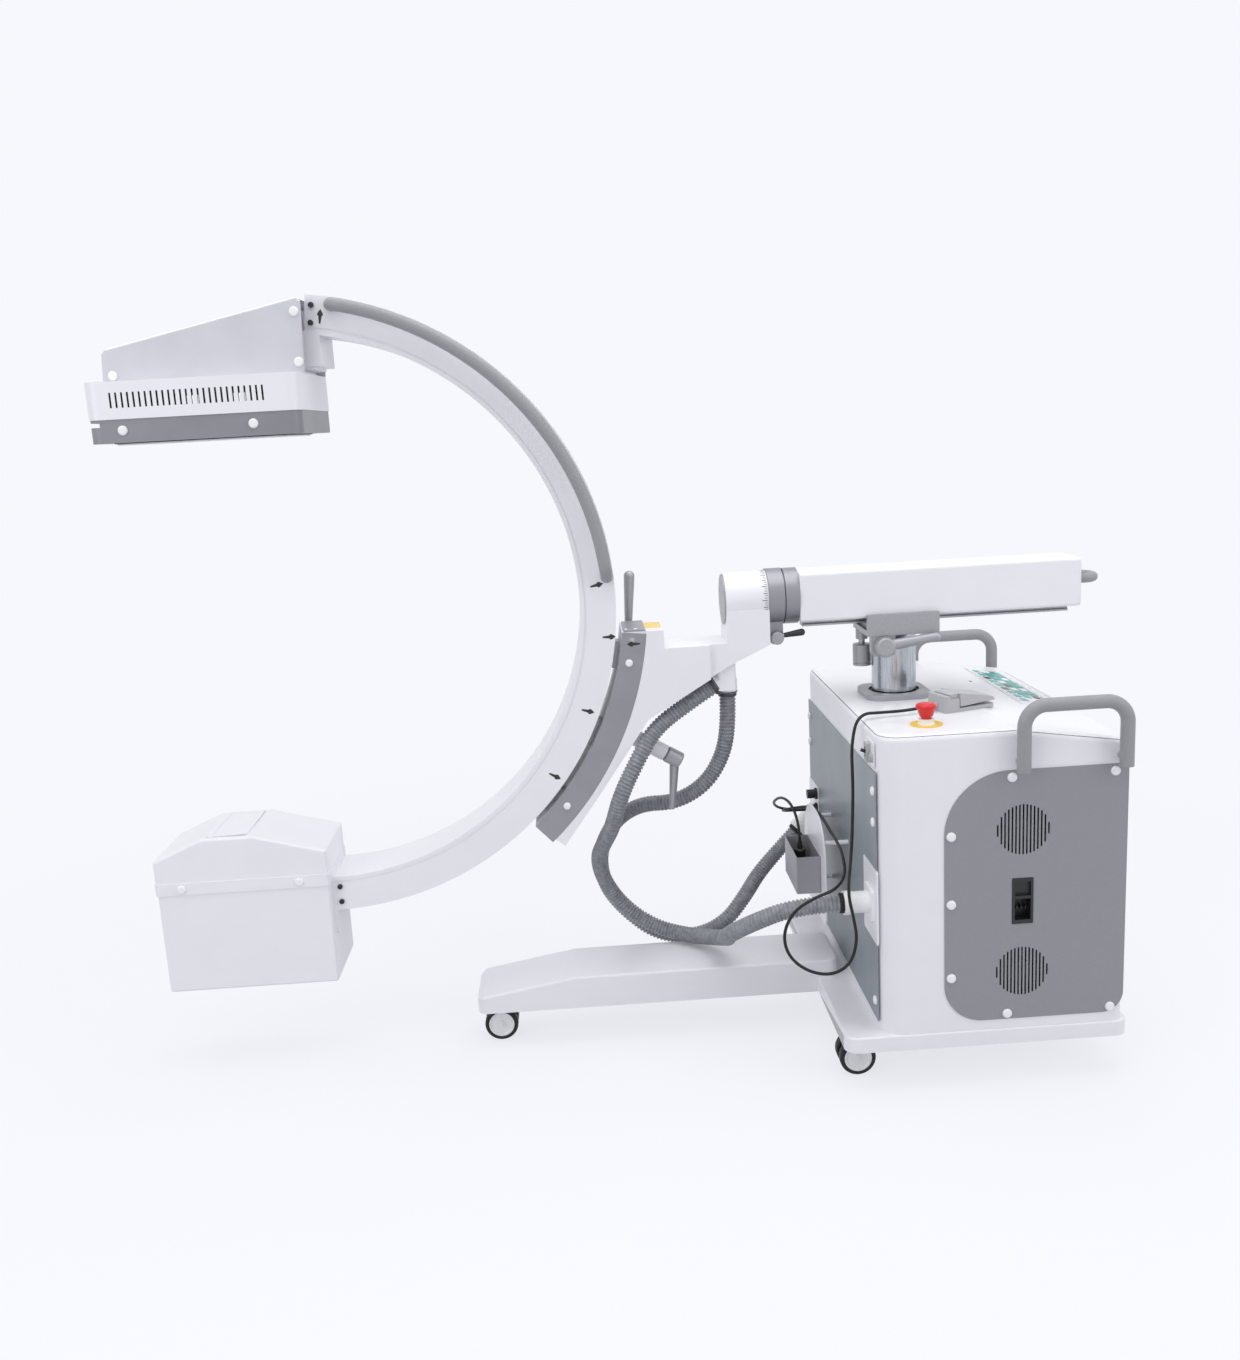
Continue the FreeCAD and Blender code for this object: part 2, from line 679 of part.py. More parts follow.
def make_front_panel():
    hw = CAB_W / 2 - FRONT_PANEL_INSET
    x0 = CAB_FRONT - FRONT_T
    panel = box(x0, CAB_FRONT, -hw, hw, FRONT_PANEL_Z0, FRONT_PANEL_Z1)
    half = LINK_PLATE_W / 2
    z0, z1 = LINK_PLATE_Z - LINK_PLATE_H / 2, LINK_PLATE_Z + LINK_PLATE_H / 2
    for s in (-1, 1):
        y0, y1 = sorted((s * (LINK_PLATE_Y - half - GAP), s * (LINK_PLATE_Y + half + GAP)))
        panel = panel.cut(box(x0 - 1, CAB_FRONT + 1, y0, y1, z0 - GAP, z1 + GAP))
    return panel


def make_link_plates():
    half = LINK_PLATE_W / 2
    z0, z1 = LINK_PLATE_Z - LINK_PLATE_H / 2, LINK_PLATE_Z + LINK_PLATE_H / 2
    plates = []
    for s in (-1, 1):
        y0, y1 = sorted((s * (LINK_PLATE_Y - half), s * (LINK_PLATE_Y + half)))
        plates.append(rounded_plate_x(CAB_FRONT - LINK_PLATE_T, CAB_FRONT, y0, y1, z0, z1, 6))
    return group(plates)


def rounded_plate_x(x0, x1, y0, y1, z0, z1, radius):
    return fillet_where(box(x0, x1, y0, y1, z0, z1), radius, lambda e: along(e, "x"))


def hose_socket(points, round_flange):
    """Flanged barrel that meets the hose's last run square, cut off at the link plate."""
    x0 = CAB_FRONT - LINK_PLATE_T
    end = V(*points[-1])
    d = (end - V(*points[-2])).normalize()
    reach = (x0 - end.x) / d.x
    base = end + d * reach
    h = SOCKET_FLANGE / 2
    if round_flange:
        flange = rod((x0 - SOCKET_FLANGE_T, base.y, base.z), (1, 0, 0), SOCKET_FLANGE_T, ROUND_FLANGE_D)
    else:
        flange = rounded_plate_x(x0 - SOCKET_FLANGE_T, x0, base.y - h, base.y + h, base.z - h, base.z + h, 7)
    barrel = rod(tuple(end), tuple(d), reach + HOSE_SOCKET_D, HOSE_SOCKET_D)
    barrel = barrel.fuse(rod(tuple(end), tuple(d), 14, HOSE_SOCKET_D + 5))
    behind = box(x0, x0 + 100, base.y - 100, base.y + 100, base.z - 100, base.z + 100)
    return flange.fuse(barrel.cut(behind)).removeSplitter()


def jacks():
    x0 = CAB_FRONT - LINK_PLATE_T
    made = []
    for z in (JACK_UPPER_Z, JACK_LOWER_Z):
        base = rod((x0, JACK_Y, z), (-1, 0, 0), 5, JACK_D + 6)
        made.append(base.fuse(rod((x0, JACK_Y, z), (-1, 0, 0), JACK_L, JACK_D)).removeSplitter())
    return made


def front_screws():
    x0 = CAB_FRONT - FRONT_T
    hw = CAB_W / 2 - FRONT_PANEL_INSET - 16
    spots = [(s * hw, z) for s in (-1, 1) for z in (FRONT_PANEL_Z1 - 40, FRONT_PANEL_Z0 + 40, 560)]
    return [dome_screw((x0, y, z), (-1, 0, 0)) for y, z in spots]


def make_breaker_plate():
    x0 = CAB_FRONT - FRONT_T
    w, h = 62, 50
    plate = rounded_plate_x(x0, CAB_FRONT, BREAKER_Y - w / 2, BREAKER_Y + w / 2,
                            BREAKER_Z - h / 2, BREAKER_Z + h / 2, 5)
    body = box(x0 - 9, x0, BREAKER_Y - 6, BREAKER_Y + 14, BREAKER_Z - 20, BREAKER_Z + 20)
    body = fillet_where(body, 2, lambda e: along(e, "x"))
    half = BREAKER_WINDOW / 2
    body = body.cut(box(x0 - 10, x0 - 1, BREAKER_Y - 1, BREAKER_Y + 9, BREAKER_Z - half, BREAKER_Z + half))
    button_y = BREAKER_Y - 18
    body = body.fuse(ring((x0, button_y, BREAKER_Z - 6), (-1, 0, 0), 4, 20, 14 + 2 * GAP))
    return plate.fuse(body).removeSplitter()


def make_breaker_toggle():
    x0 = CAB_FRONT - FRONT_T
    y = BREAKER_Y + 4
    hub = rod((x0 - 6, y - 4.6, BREAKER_Z), (0, 1, 0), 9.2, 8)
    lever = box(x0 - 18, x0 - 6, y - 3, y + 3, BREAKER_Z - 3, BREAKER_Z + 3)
    lever.rotate(V(x0 - 6, y, BREAKER_Z), V(0, 1, 0), 24)
    return hub.fuse(lever).removeSplitter()


def make_start_button():
    x0 = CAB_FRONT - FRONT_T
    y, z = BREAKER_Y - 18, BREAKER_Z - 6
    return rod((x0 - 6, y, z), (1, 0, 0), 6 - START_TRAVEL - GAP, 14)


def make_hanger():
    """Rounded plate on four stand-off rods, for winding the hand switch cable."""
    x0 = HANGER_X
    plate = box(x0, x0 + HANGER_T, HANGER_Y0, HANGER_Y1, HANGER_Z0, HANGER_Z1)
    plate = fillet_where(plate, HANGER_R, lambda e: along(e, "x") and mid(e).z > HANGER_Z1 - 1)
    plate = fillet_where(plate, 12, lambda e: along(e, "x") and mid(e).z < HANGER_Z0 + 1)
    for y, z in hanger_rods():
        plate = plate.fuse(rod((x0, y, z), (1, 0, 0), CAB_FRONT - FRONT_T - x0, ROD_D))
    return plate.removeSplitter()


def hanger_rods():
    y0, y1 = HANGER_Y0 + 22, HANGER_Y1 - 28
    return [(y0, HANGER_Z1 - 42 - 8), (y1, HANGER_Z1 - 46), (y0, HANGER_Z0 + 34), (y1, HANGER_Z0 + 34)]


def make_pocket():
    x1 = HANGER_X
    x0 = x1 - POCKET_L
    y0 = (HANGER_Y0 + HANGER_Y1 - POCKET_W) / 2
    z0 = POCKET_TOP - POCKET_H
    t = POCKET_WALL
    shell = fillet_where(box(x0, x1, y0, y0 + POCKET_W, z0, POCKET_TOP), 3, lambda e: along(e, "z"))
    return shell.cut(box(x0 + t, x1 - t, y0 + t, y0 + POCKET_W - t, z0 + t, POCKET_TOP + 1))


def make_hand_switch():
    """Grip that stands in the pocket button down, with its cable's tapered relief on top."""
    x = HANGER_X - POCKET_L / 2
    y = (HANGER_Y0 + HANGER_Y1) / 2 + 30
    z0 = POCKET_TOP - POCKET_H + POCKET_WALL + GAP
    grip = rod((x, y, z0), (0, 0, 1), 66, 26)
    grip = fillet_where(grip, 4, lambda e: e.Curve.TypeId == "Part::GeomCircle")
    top = z0 + 66
    relief = Part.makeCone(6.5, 4.5, SWITCH_CABLE[0][2] - top, V(x, y, top), V(0, 0, 1))
    return grip.fuse(relief).removeSplitter()


# Top of the cabinet

def make_stop_plate():
    plate = rod((STOP_X, STOP_Y, CAB_TOP), (0, 0, 1), 1.5, STOP_PLATE_D)
    return plate.cut(rod((STOP_X, STOP_Y, CAB_TOP - 1), (0, 0, 1), 4, 31))


def make_stop_collar():
    base = rod((STOP_X, STOP_Y, CAB_TOP), (0, 0, 1), 12, 30)
    base = base.fuse(Part.makeCone(17, 14, 5, V(STOP_X, STOP_Y, CAB_TOP + 1.5), V(0, 0, 1)))
    return base.cut(rod((STOP_X, STOP_Y, CAB_TOP + 2), (0, 0, 1), 20, 20 + 2 * SHAFT_FIT)).removeSplitter()


def make_stop_button():
    """Mushroom head on its stem, turned from one profile."""
    z = CAB_TOP + 12 + STOP_TRAVEL
    r = STOP_CAP_D / 2
    pts = [(0, CAB_TOP + 3 + STOP_TRAVEL), (10, CAB_TOP + 3 + STOP_TRAVEL), (10, z + 1), (13, z + 1),
           (r - 3, z + 15), (r, z + 18), (r, z + 22), (r - 2, z + 25), (r - 8, z + 27), (0, z + 27.5)]
    face = Part.Face(Part.makePolygon([V(STOP_X + a, STOP_Y, b) for a, b in pts + pts[:1]]))
    return face.revolve(V(STOP_X, STOP_Y, 0), V(0, 0, 1), 360)


def pedal_place(shape):
    shape.rotate(V(0, 0, 0), V(0, 0, 1), PEDAL_TURN)
    shape.translate(V(PEDAL_X, PEDAL_Y, CAB_TOP))
    return shape


def make_pedal_base():
    """Low plate with a heel, and two cheeks that carry the treadle's pin."""
    hl, hw = PEDAL_L / 2, PEDAL_W / 2
    base = rounded_plate(-hl, hl, -hw, hw, 0, PEDAL_BASE_T, 6)
    heel = box(-hl, -hl + PEDAL_HEEL, -hw, hw, 0, PEDAL_H - 4)
    heel = fillet_where(heel, 6, lambda e: along(e, "z") and mid(e).x < -hl + 1)
    base = base.fuse(heel)
    for s in (-1, 1):
        lo, hi = sorted((s * hw, s * (hw - PEDAL_CHEEK)))
        base = base.fuse(box(-hl + 8, PEDAL_PIN_X + 9, lo, hi, 4, PEDAL_PIN_Z + 7))
    pin = rod((PEDAL_PIN_X, -hw + 1, PEDAL_PIN_Z), (0, 1, 0), PEDAL_W - 2, 8)
    base = pedal_place(base.fuse(pin).removeSplitter())
    start, after = V(*PEDAL_CABLE[0]), V(*PEDAL_CABLE[1])
    d = (start - after).normalize()
    return base.fuse(Part.makeCone(4.5, 6.5, 20, start, d)).removeSplitter()


def make_treadle():
    """Sloping cover that rocks on the base's pin."""
    hl, hw = PEDAL_L / 2, PEDAL_W / 2
    low = PEDAL_BASE_T + (hl - PEDAL_PIN_X) * math.tan(math.radians(PEDAL_SWING))
    x0 = -hl + PEDAL_HEEL + 2
    profile = [(x0, PEDAL_BASE_T + 3), (x0, PEDAL_H - 2), (x0 + 22, PEDAL_H), (hl - 6, low + 9),
               (hl, low + 4), (hl, low + 1), (PEDAL_PIN_X + 16, PEDAL_BASE_T + 3)]
    cover = prism_y(profile, PEDAL_W)
    for s in (-1, 1):
        lo, hi = sorted((s * (hw + 1), s * (hw - PEDAL_CHEEK - 1)))
        cover = cover.cut(box(x0 - 1, PEDAL_PIN_X + 11, lo, hi, 0, PEDAL_H + 1))
    cover = cover.cut(rod((PEDAL_PIN_X, -hw, PEDAL_PIN_Z), (0, 1, 0), PEDAL_W, 8 + 2 * SHAFT_FIT))
    return pedal_place(cover)


def slope_frame(shape):
    """Lay a shape drawn about the origin onto the sloping rear top."""
    angle = math.degrees(math.atan2(CAB_TOP - CAB_REAR_TOP, CAB_REAR - CAB_SLOPE_X))
    shape.rotate(V(0, 0, 0), V(0, 1, 0), angle)
    x = (CAB_SLOPE_X + CAB_REAR) / 2 + 46
    z = CAB_TOP - (x - CAB_SLOPE_X) * math.tan(math.radians(angle))
    shape.translate(V(x, KEYPAD_Y, z))
    return shape


def make_keypad():
    plate = rounded_plate(-KEYPAD_L / 2, KEYPAD_L / 2, -KEYPAD_W / 2, KEYPAD_W / 2, 0, KEYPAD_T, 8)
    for i in range(4):
        for j in range(9):
            x = -KEYPAD_L / 2 + 20 + 21 * i
            y = -KEYPAD_W / 2 + 40 + 40 * j
            key = box(x - 7, x + 7, y - 13, y + 13, KEYPAD_T - 0.1, KEYPAD_T + 0.6)
            plate = plate.fuse(key)
    return slope_frame(plate.removeSplitter())


def push_handle():
    """One bent tube outside the near side, on two bosses that stand on the side panel."""
    y = -CAB_W / 2 - PANEL_T - HANDLE_D / 2 - 8
    pts = [V(HANDLE_X0, y, HANDLE_FOOT), V(HANDLE_X0, y, HANDLE_TOP), V(HANDLE_X1, y, HANDLE_TOP),
           V(HANDLE_X1, y, HANDLE_FOOT)]
    tube = pipe(pts, [HANDLE_BEND, HANDLE_BEND], HANDLE_D)
    for x in (HANDLE_X0, HANDLE_X1):
        boss_y = -CAB_W / 2
        tube = tube.fuse(rod((x, y, HANDLE_FOOT + 16), (0, 1, 0), boss_y - y, 16))
    return tube


# Column

def make_flange():
    h = FLANGE / 2
    plate = rounded_plate(-h, h, -h, h, CAB_TOP, CAB_TOP + FLANGE_T, FLANGE_R)
    plate = fillet_where(plate, 3, lambda e: abs(mid(e).z - CAB_TOP - FLANGE_T) < 1e-6)
    return plate.cut(rod((0, 0, CAB_TOP - 1), (0, 0, 1), FLANGE_T + 2, SEAL_D))


def make_seal():
    return ring((0, 0, CAB_TOP), (0, 0, 1), FLANGE_T - 3, SEAL_D, COLUMN_D + 2 * GAP)


def make_guide_tube():
    z0 = CHASSIS_BOTTOM + CHASSIS_H
    inner = COLUMN_D + 2 * SHAFT_FIT
    tube = ring((0, 0, z0), (0, 0, 1), CAB_TOP - CAB_WALL - z0, inner + 2 * GUIDE_TUBE_WALL, inner)
    foot = ring((0, 0, z0), (0, 0, 1), 10, inner + 2 * GUIDE_TUBE_WALL + 50, inner)
    return tube.fuse(foot).removeSplitter()


def make_column():
    top = SADDLE_BOTTOM - WASHER_T - GAP
    return ring((0, 0, COLUMN_BOTTOM), (0, 0, 1), top - 12 - COLUMN_BOTTOM, COLUMN_D, COLUMN_BORE).fuse(
        rod((0, 0, top - 12), (0, 0, 1), 12, COLUMN_D)).fuse(
        rod((0, 0, top), (0, 0, 1), WASHER_T + GAP + SADDLE_FLOOR - 2, PIVOT_D)).removeSplitter()


def make_washer():
    top = SADDLE_BOTTOM - WASHER_T - GAP
    return ring((0, 0, top), (0, 0, 1), WASHER_T, COLUMN_D - 2, PIVOT_D + 2 * SHAFT_FIT)


def make_actuator_body():
    z0 = CHASSIS_BOTTOM + CHASSIS_H
    length = COLUMN_BOTTOM + LIFT_TRAVEL - 40 - z0
    tube = rod((0, 0, z0), (0, 0, 1), length, ACTUATOR_D)
    return tube.cut(rod((0, 0, z0 + 12), (0, 0, 1), length, ACTUATOR_ROD_D + 2 * SHAFT_FIT))


def make_actuator_rod():
    z0 = CHASSIS_BOTTOM + CHASSIS_H + 14
    top = SADDLE_BOTTOM - WASHER_T - GAP - 12
    return rod((0, 0, z0), (0, 0, 1), top - z0, ACTUATOR_ROD_D)


# Saddle and its lock lever and index knob

def make_saddle():
    z0 = SADDLE_BOTTOM
    arm_bottom = AXIS_Z - ARM_H / 2
    hw = SADDLE_W / 2
    body = box(SADDLE_X0, SADDLE_X1, -hw, hw, z0, arm_bottom + SADDLE_LIP)
    body = body.cut(box(SADDLE_X0 - 1, SADDLE_X1 + 1, -hw + SADDLE_WALL, hw - SADDLE_WALL,
                        z0 + SADDLE_FLOOR, arm_bottom + SADDLE_LIP + 1))
    lug = box(LOCK_X - 26, LOCK_X + 26, -hw + 2, -COLUMN_D / 2 - 1, LOCK_Z - 22, z0)
    lug = fillet_where(lug, 10, lambda e: along(e, "y") and mid(e).z < z0 - 5)
    body = body.fuse(lug)
    body = body.cut(rod((LOCK_X, -hw, LOCK_Z), (0, 1, 0), 40, 16 + 2 * SHAFT_FIT))
    body = body.cut(rod((0, 0, z0 - 1), (0, 0, 1), SADDLE_FLOOR + 2, PIVOT_D + 2 * SHAFT_FIT))
    body = body.cut(rod((KNOB_X, KNOB_Y, z0 - 1), (0, 0, 1), SADDLE_FLOOR + 2, 14 + 2 * SHAFT_FIT))
    return body.removeSplitter()


def make_lock_lever():
    """Cast lever: a round hub, a tapering arm that lifts at its end, and its screw."""
    hw = SADDLE_W / 2
    y1 = -hw + 2 - GAP
    y0 = y1 - 26
    hub = rod((LOCK_X, y0, LOCK_Z), (0, 1, 0), y1 - y0, LOCK_HUB_D)
    hub = fillet_where(hub, 5, lambda e: e.Curve.TypeId == "Part::GeomCircle" and mid(e).y < y0 + 1)
    root, tip = V(LOCK_X, y0 + 13, LOCK_Z + 2), V(LOCK_X + LOCK_ARM_L, y0 + 12, LOCK_Z + 16)
    d = tip - root
    arm = Part.makeCone(12, 9.5, d.Length, root, d)
    arm = arm.fuse(Part.makeSphere(9.5, tip))
    screw = rod((LOCK_X, y1 - 2, LOCK_Z), (0, 1, 0), 22, 16)
    return hub.fuse(arm).fuse(screw).removeSplitter()


def make_index_knob():
    z0 = SADDLE_BOTTOM - KNOB_L - 33
    stem = rod((KNOB_X, KNOB_Y, z0 + KNOB_L), (0, 0, 1), 33 + SADDLE_FLOOR - 3, 14)
    grip = rod((KNOB_X, KNOB_Y, z0), (0, 0, 1), KNOB_L, KNOB_D)
    grip = fillet_where(grip, 3, lambda e: e.Curve.TypeId == "Part::GeomCircle" and mid(e).z > z0 + 1)
    grip = grip.cut(ring((KNOB_X, KNOB_Y, z0 + 5), (0, 0, 1), 3, KNOB_D + 2, KNOB_D - 3))
    return grip.fuse(stem).removeSplitter()


def make_index_sleeve():
    z1 = SADDLE_BOTTOM
    return ring((KNOB_X, KNOB_Y, z1 - 22), (0, 0, 1), 22, 26, 14 + 2 * SHAFT_FIT)


# Arm

def make_arm():
    hw, hh = ARM_W / 2, ARM_H / 2
    beam = box(ARM_X0, ARM_X1, -hw, hw, AXIS_Z - hh, AXIS_Z + hh)
    beam = fillet_where(beam, ARM_EDGE_R, lambda e: along(e, "x"))
    return beam.cut(box(ARM_X0 + 12, ARM_X1 + 1, -hw + ARM_WALL, hw - ARM_WALL,
                        AXIS_Z - hh + ARM_WALL, AXIS_Z + hh - ARM_WALL))


def make_arm_cap():
    hw, hh = ARM_W / 2 - ARM_WALL - GAP, ARM_H / 2 - ARM_WALL - GAP
    cap = box(ARM_X1 - 10, ARM_X1, -hw, hw, AXIS_Z - hh, AXIS_Z + hh)
    lid = rounded_plate_x(ARM_X1, ARM_X1 + 3, -ARM_W / 2 + 1, ARM_W / 2 - 1, AXIS_Z - ARM_H / 2 + 1,
                          AXIS_Z + ARM_H / 2 - 1, ARM_EDGE_R)
    return cap.fuse(lid).removeSplitter()


def make_arm_handle():
    x0, x1 = ARM_X1 + 3, ARM_X1 + 3 + END_HANDLE_L - END_HANDLE_D / 2
    h = END_HANDLE_W / 2 - END_HANDLE_D / 2
    pts = [V(x0, -h, AXIS_Z + 4), V(x1, -h, AXIS_Z + 4), V(x1, h, AXIS_Z + 4), V(x0, h, AXIS_Z + 4)]
    return pipe(pts, [h - 4, h - 4], END_HANDLE_D)


def make_rail():
    z1 = AXIS_Z - ARM_H / 2
    x0, x1 = ARM_X0 + 10, ARM_X1 - 10
    bar = box(x0, x1, -RAIL_W / 2, RAIL_W / 2, z1 - RAIL_H, z1)
    for s in (-1, 1):
        groove = rod((x0 - 1, s * RAIL_W / 2, z1 - RAIL_H / 2), (1, 0, 0), x1 - x0 + 2, 7)
        bar = bar.cut(groove)
    return bar


def make_bearings():
    """Two blocks on the saddle floor whose jaws run in the rail's grooves."""
    z0 = SADDLE_BOTTOM + SADDLE_FLOOR
    z1 = AXIS_Z - ARM_H / 2 - 2
    w = RAIL_W / 2 + 16
    rail_z = AXIS_Z - ARM_H / 2 - RAIL_H / 2
    blocks = []
    for x0 in (SADDLE_X0 + 8, SADDLE_X1 - 58):
        b = box(x0, x0 + 50, -w, w, z0, z1)
        b = b.cut(box(x0 - 1, x0 + 51, -RAIL_W / 2 - 1, RAIL_W / 2 + 1, rail_z - RAIL_H / 2 - 1, z1 + 1))
        for s in (-1, 1):
            b = b.fuse(rod((x0, s * (RAIL_W / 2 + 0.3), rail_z), (1, 0, 0), 50, 6))
        b = b.cut(rod((0, 0, z0 - 1), (0, 0, 1), 10, PIVOT_D + 6))
        blocks.append(b.removeSplitter())
    return group(blocks)


def collar_x():
    """The lock collar's two faces, beside the bearing flange."""
    x1 = ARM_X0 - RING_L - RING_GAP
    return x1 - COLLAR_L, x1


def drum_x():
    x1 = collar_x()[0] - GAP
    return x1 - DRUM_L, x1


def make_bearing_flange():
    x0 = ARM_X0 - RING_L
    return ring((x0, 0, AXIS_Z), (1, 0, 0), RING_L, RING_D, SHAFT_D)


def make_rotation_shaft():
    x0 = drum_x()[0] + 4
    return rod((x0, 0, AXIS_Z), (1, 0, 0), ARM_X0 - x0, SHAFT_D - 0.0)


def make_lock_collar():
    """Split ring with two lugs, closed by the clamp screw; it stands on the flange's spigot."""
    x0, x1 = collar_x()
    neck = DRUM_NECK_D + 2 * SHAFT_FIT
    lug = box(x0 + 2, x1 - 2, -34, 34, CLAMP_Z - 15, AXIS_Z - COLLAR_D / 2 + 12)
    lug = fillet_where(lug, 10, lambda e: along(e, "y") and mid(e).z < CLAMP_Z)
    body = rod((x0, 0, AXIS_Z), (1, 0, 0), x1 - x0, COLLAR_D).fuse(lug)
    body = body.cut(rod((x0 - 1, 0, AXIS_Z), (1, 0, 0), x1 - x0 + 2, neck))
    body = body.cut(box(x0 - 1, x1 + 1, -1.5, 1.5, CLAMP_Z - 20, AXIS_Z - DRUM_NECK_D / 2 + 4))
    body = body.cut(rod(((x0 + x1) / 2, -40, CLAMP_Z), (0, 1, 0), 80, 12 + 2 * SHAFT_FIT))
    spigot = ring((x1, 0, AXIS_Z), (1, 0, 0), RING_GAP, COLLAR_D - 12, COLLAR_D - 24)
    return body.fuse(spigot).removeSplitter()


def make_clamp_lever():
    """Clamp screw with a round head, and a short bar lever on the far end of the hub."""
    x0, x1 = collar_x()
    xm = (x0 + x1) / 2
    screw = rod((xm, -34 - 16, CLAMP_Z), (0, 1, 0), 34 + 16 + 30, 12)
    head = rod((xm, -34 - GAP - 15, CLAMP_Z), (0, 1, 0), 15, 28)
    head = fillet_where(head, 3, lambda e: e.Curve.TypeId == "Part::GeomCircle" and mid(e).y < -45)
    root = V(xm + 6, -34 - 9, CLAMP_Z + 4)
    tip = V(xm + 52, -34 - 11, CLAMP_Z + 10)
    bar = Part.makeCone(4.5, 7.5, (tip - root).Length, root, tip - root)
    return screw.fuse(head).fuse(bar).fuse(Part.makeSphere(7.5, tip)).removeSplitter()


# Carriage: everything that turns about the arm's axis

def make_drum():
    x0, x1 = drum_x()
    neck_end = collar_x()[1] - 1
    drum = rod((x0, 0, AXIS_Z), (1, 0, 0), x1 - x0, DRUM_D)
    drum = drum.fuse(rod((x1, 0, AXIS_Z), (1, 0, 0), neck_end - x1, DRUM_NECK_D))
    return drum.cut(rod((x0 - 1, 0, AXIS_Z), (1, 0, 0), neck_end - x0 + 2, SHAFT_D + 2 * SHAFT_FIT)).removeSplitter()


def make_cap():
    x0 = drum_x()[0]
    cap = rod((x0 - CAP_T, 0, AXIS_Z), (1, 0, 0), CAP_T, CAP_D)
    for a in (30, 150, 270):
        y = 34 * math.cos(math.radians(a))
        z = AXIS_Z + 34 * math.sin(math.radians(a))
        cap = cap.cut(rod((x0 - CAP_T - 1, y, z), (1, 0, 0), 3, 8))
    return cap


def make_carriage():
    """Body between the drum and the C: an arc-shaped shoe, a stepped deck and a sloping web."""
    y0 = -CARR_W / 2
    a0, a1 = CARR_LOW_ANGLE, CARR_TOP_ANGLE
    x_deck0 = C_X + math.sqrt(CARR_R0**2 - (DECK_Z - C_Z) ** 2)
    low_in = polar(CARR_R0, a0, y0)
    low_out = polar(CARR_R2, a0 + 1, y0)
    mid_in = polar(CARR_R0, (a0 + a1) / 2, y0)
    d0, d1 = drum_x()
    web = [V(x_deck0, y0, DECK_Z), V(DECK_X1, y0, DECK_Z), V(DECK_X1, y0, STEP_Z), V(d0, y0, STEP_Z),
           V(d1, y0, STEP_Z), V(d1, y0, STEP_Z - 8), V(d0 - 1, y0, 836), V(-545, y0, 734), V(-663, y0, 568), low_out]
    edges = [Part.LineSegment(a, b).toShape() for a, b in zip(web, web[1:])]
    edges.append(Part.LineSegment(low_out, low_in).toShape())
    edges.append(Part.Arc(low_in, mid_in, web[0]).toShape())
    body = Part.Face(Part.Wire(edges)).extrude(V(0, CARR_W, 0))
    side = (CARR_W - NECK_W) / 2
    for s in (-1, 1):
        lo, hi = sorted((s * NECK_W / 2, s * (NECK_W / 2 + side + 1)))
        body = body.cut(box(d0 - 40, d1 + 1, lo, hi, 700, 1000))
    block = box(d0, d1, -NECK_W / 2, NECK_W / 2, STEP_Z - 9, AXIS_Z - 20)
    body = body.fuse(block).cut(rod((d0 - 1, 0, AXIS_Z), (1, 0, 0), d1 - d0 + 2, DRUM_D))
    for s in (-1, 1):
        lo, hi = sorted((s * CARR_W / 2, s * (CARR_W / 2 - CARR_PLATE_T)))
        body = body.cut(sector(CARR_R0 - 5, CARR_R1, a0 - 1, a1 + 1, lo, hi))
    c = polar(SIDE_LEVER_R, SIDE_LEVER_ANGLE)
    body = body.cut(rod((c.x, CARR_W / 2 - 18, c.z), (0, 1, 0), 20, 12 + 2 * SHAFT_FIT))
    p, d = brake_root() - brake_axis() * 45, brake_axis()
    body = body.fuse(rod(tuple(p), tuple(d), 45 + BRAKE_BUSH_L, BRAKE_SHAFT_D + 12))
    return body.cut(rod(tuple(p), tuple(d), 200, BRAKE_SHAFT_D + 2 * SHAFT_FIT)).removeSplitter()


def arc_plate(side):
    lo, hi = sorted((side * CARR_W / 2, side * (CARR_W / 2 - CARR_PLATE_T)))
    plate = sector(CARR_R0, CARR_R1 - GAP, CARR_LOW_ANGLE, CARR_TOP_ANGLE, lo, hi)
    c = polar(SIDE_LEVER_R, SIDE_LEVER_ANGLE)
    return plate.cut(rod((c.x, 0, c.z), (0, side, 0), CARR_W, 12 + 2 * SHAFT_FIT))


def make_top_plate():
    """Small grey cover over the upper end of the shoe."""
    x0 = C_X + math.sqrt(CARR_R0**2 - (DECK_Z - C_Z) ** 2)
    return box(x0 + 4, x0 + 50, -CARR_W / 2 + 4, CARR_W / 2 - 4, DECK_Z, DECK_Z + 3)


def bogie_angles():
    return [CARR_TOP_ANGLE - 5 - 15.5 * i for i in range(3)]


def make_bogies():
    """Bearing blocks that reach through the track's mouth and carry two rollers each."""
    rc = C_R - TRACK_LIP - TRACK_DEPTH / 2
    blocks = []
    for a in bogie_angles():
        block = sector(rc - 11, CARR_R0, a - 2.6, a + 2.6, -BOGIE_W / 2, BOGIE_W / 2)
        c = polar(rc, a)
        reach = BOGIE_W / 2 + ROLLER_W
        pin = rod((c.x, -reach, c.z), (0, 1, 0), 2 * reach, 10)
        blocks.append(block.fuse(pin).removeSplitter())
    return group(blocks)


def make_rollers():
    rc = C_R - TRACK_LIP - TRACK_DEPTH / 2
    made = []
    for a in bogie_angles():
        c = polar(rc, a)
        for s in (-1, 1):
            y0 = s * (BOGIE_W / 2 + 1) if s > 0 else s * (BOGIE_W / 2 + 1) - ROLLER_W + 2
            made.append(ring((c.x, y0, c.z), (0, 1, 0), ROLLER_W - 2, ROLLER_D, 10 + 2 * SHAFT_FIT))
    return group(made)


def brake_axis():
    return V(0.856, 0, -0.517).normalize()


def brake_root():
    """Where the brake shaft leaves the sloping underside."""
    return V(-581, 0, 684)


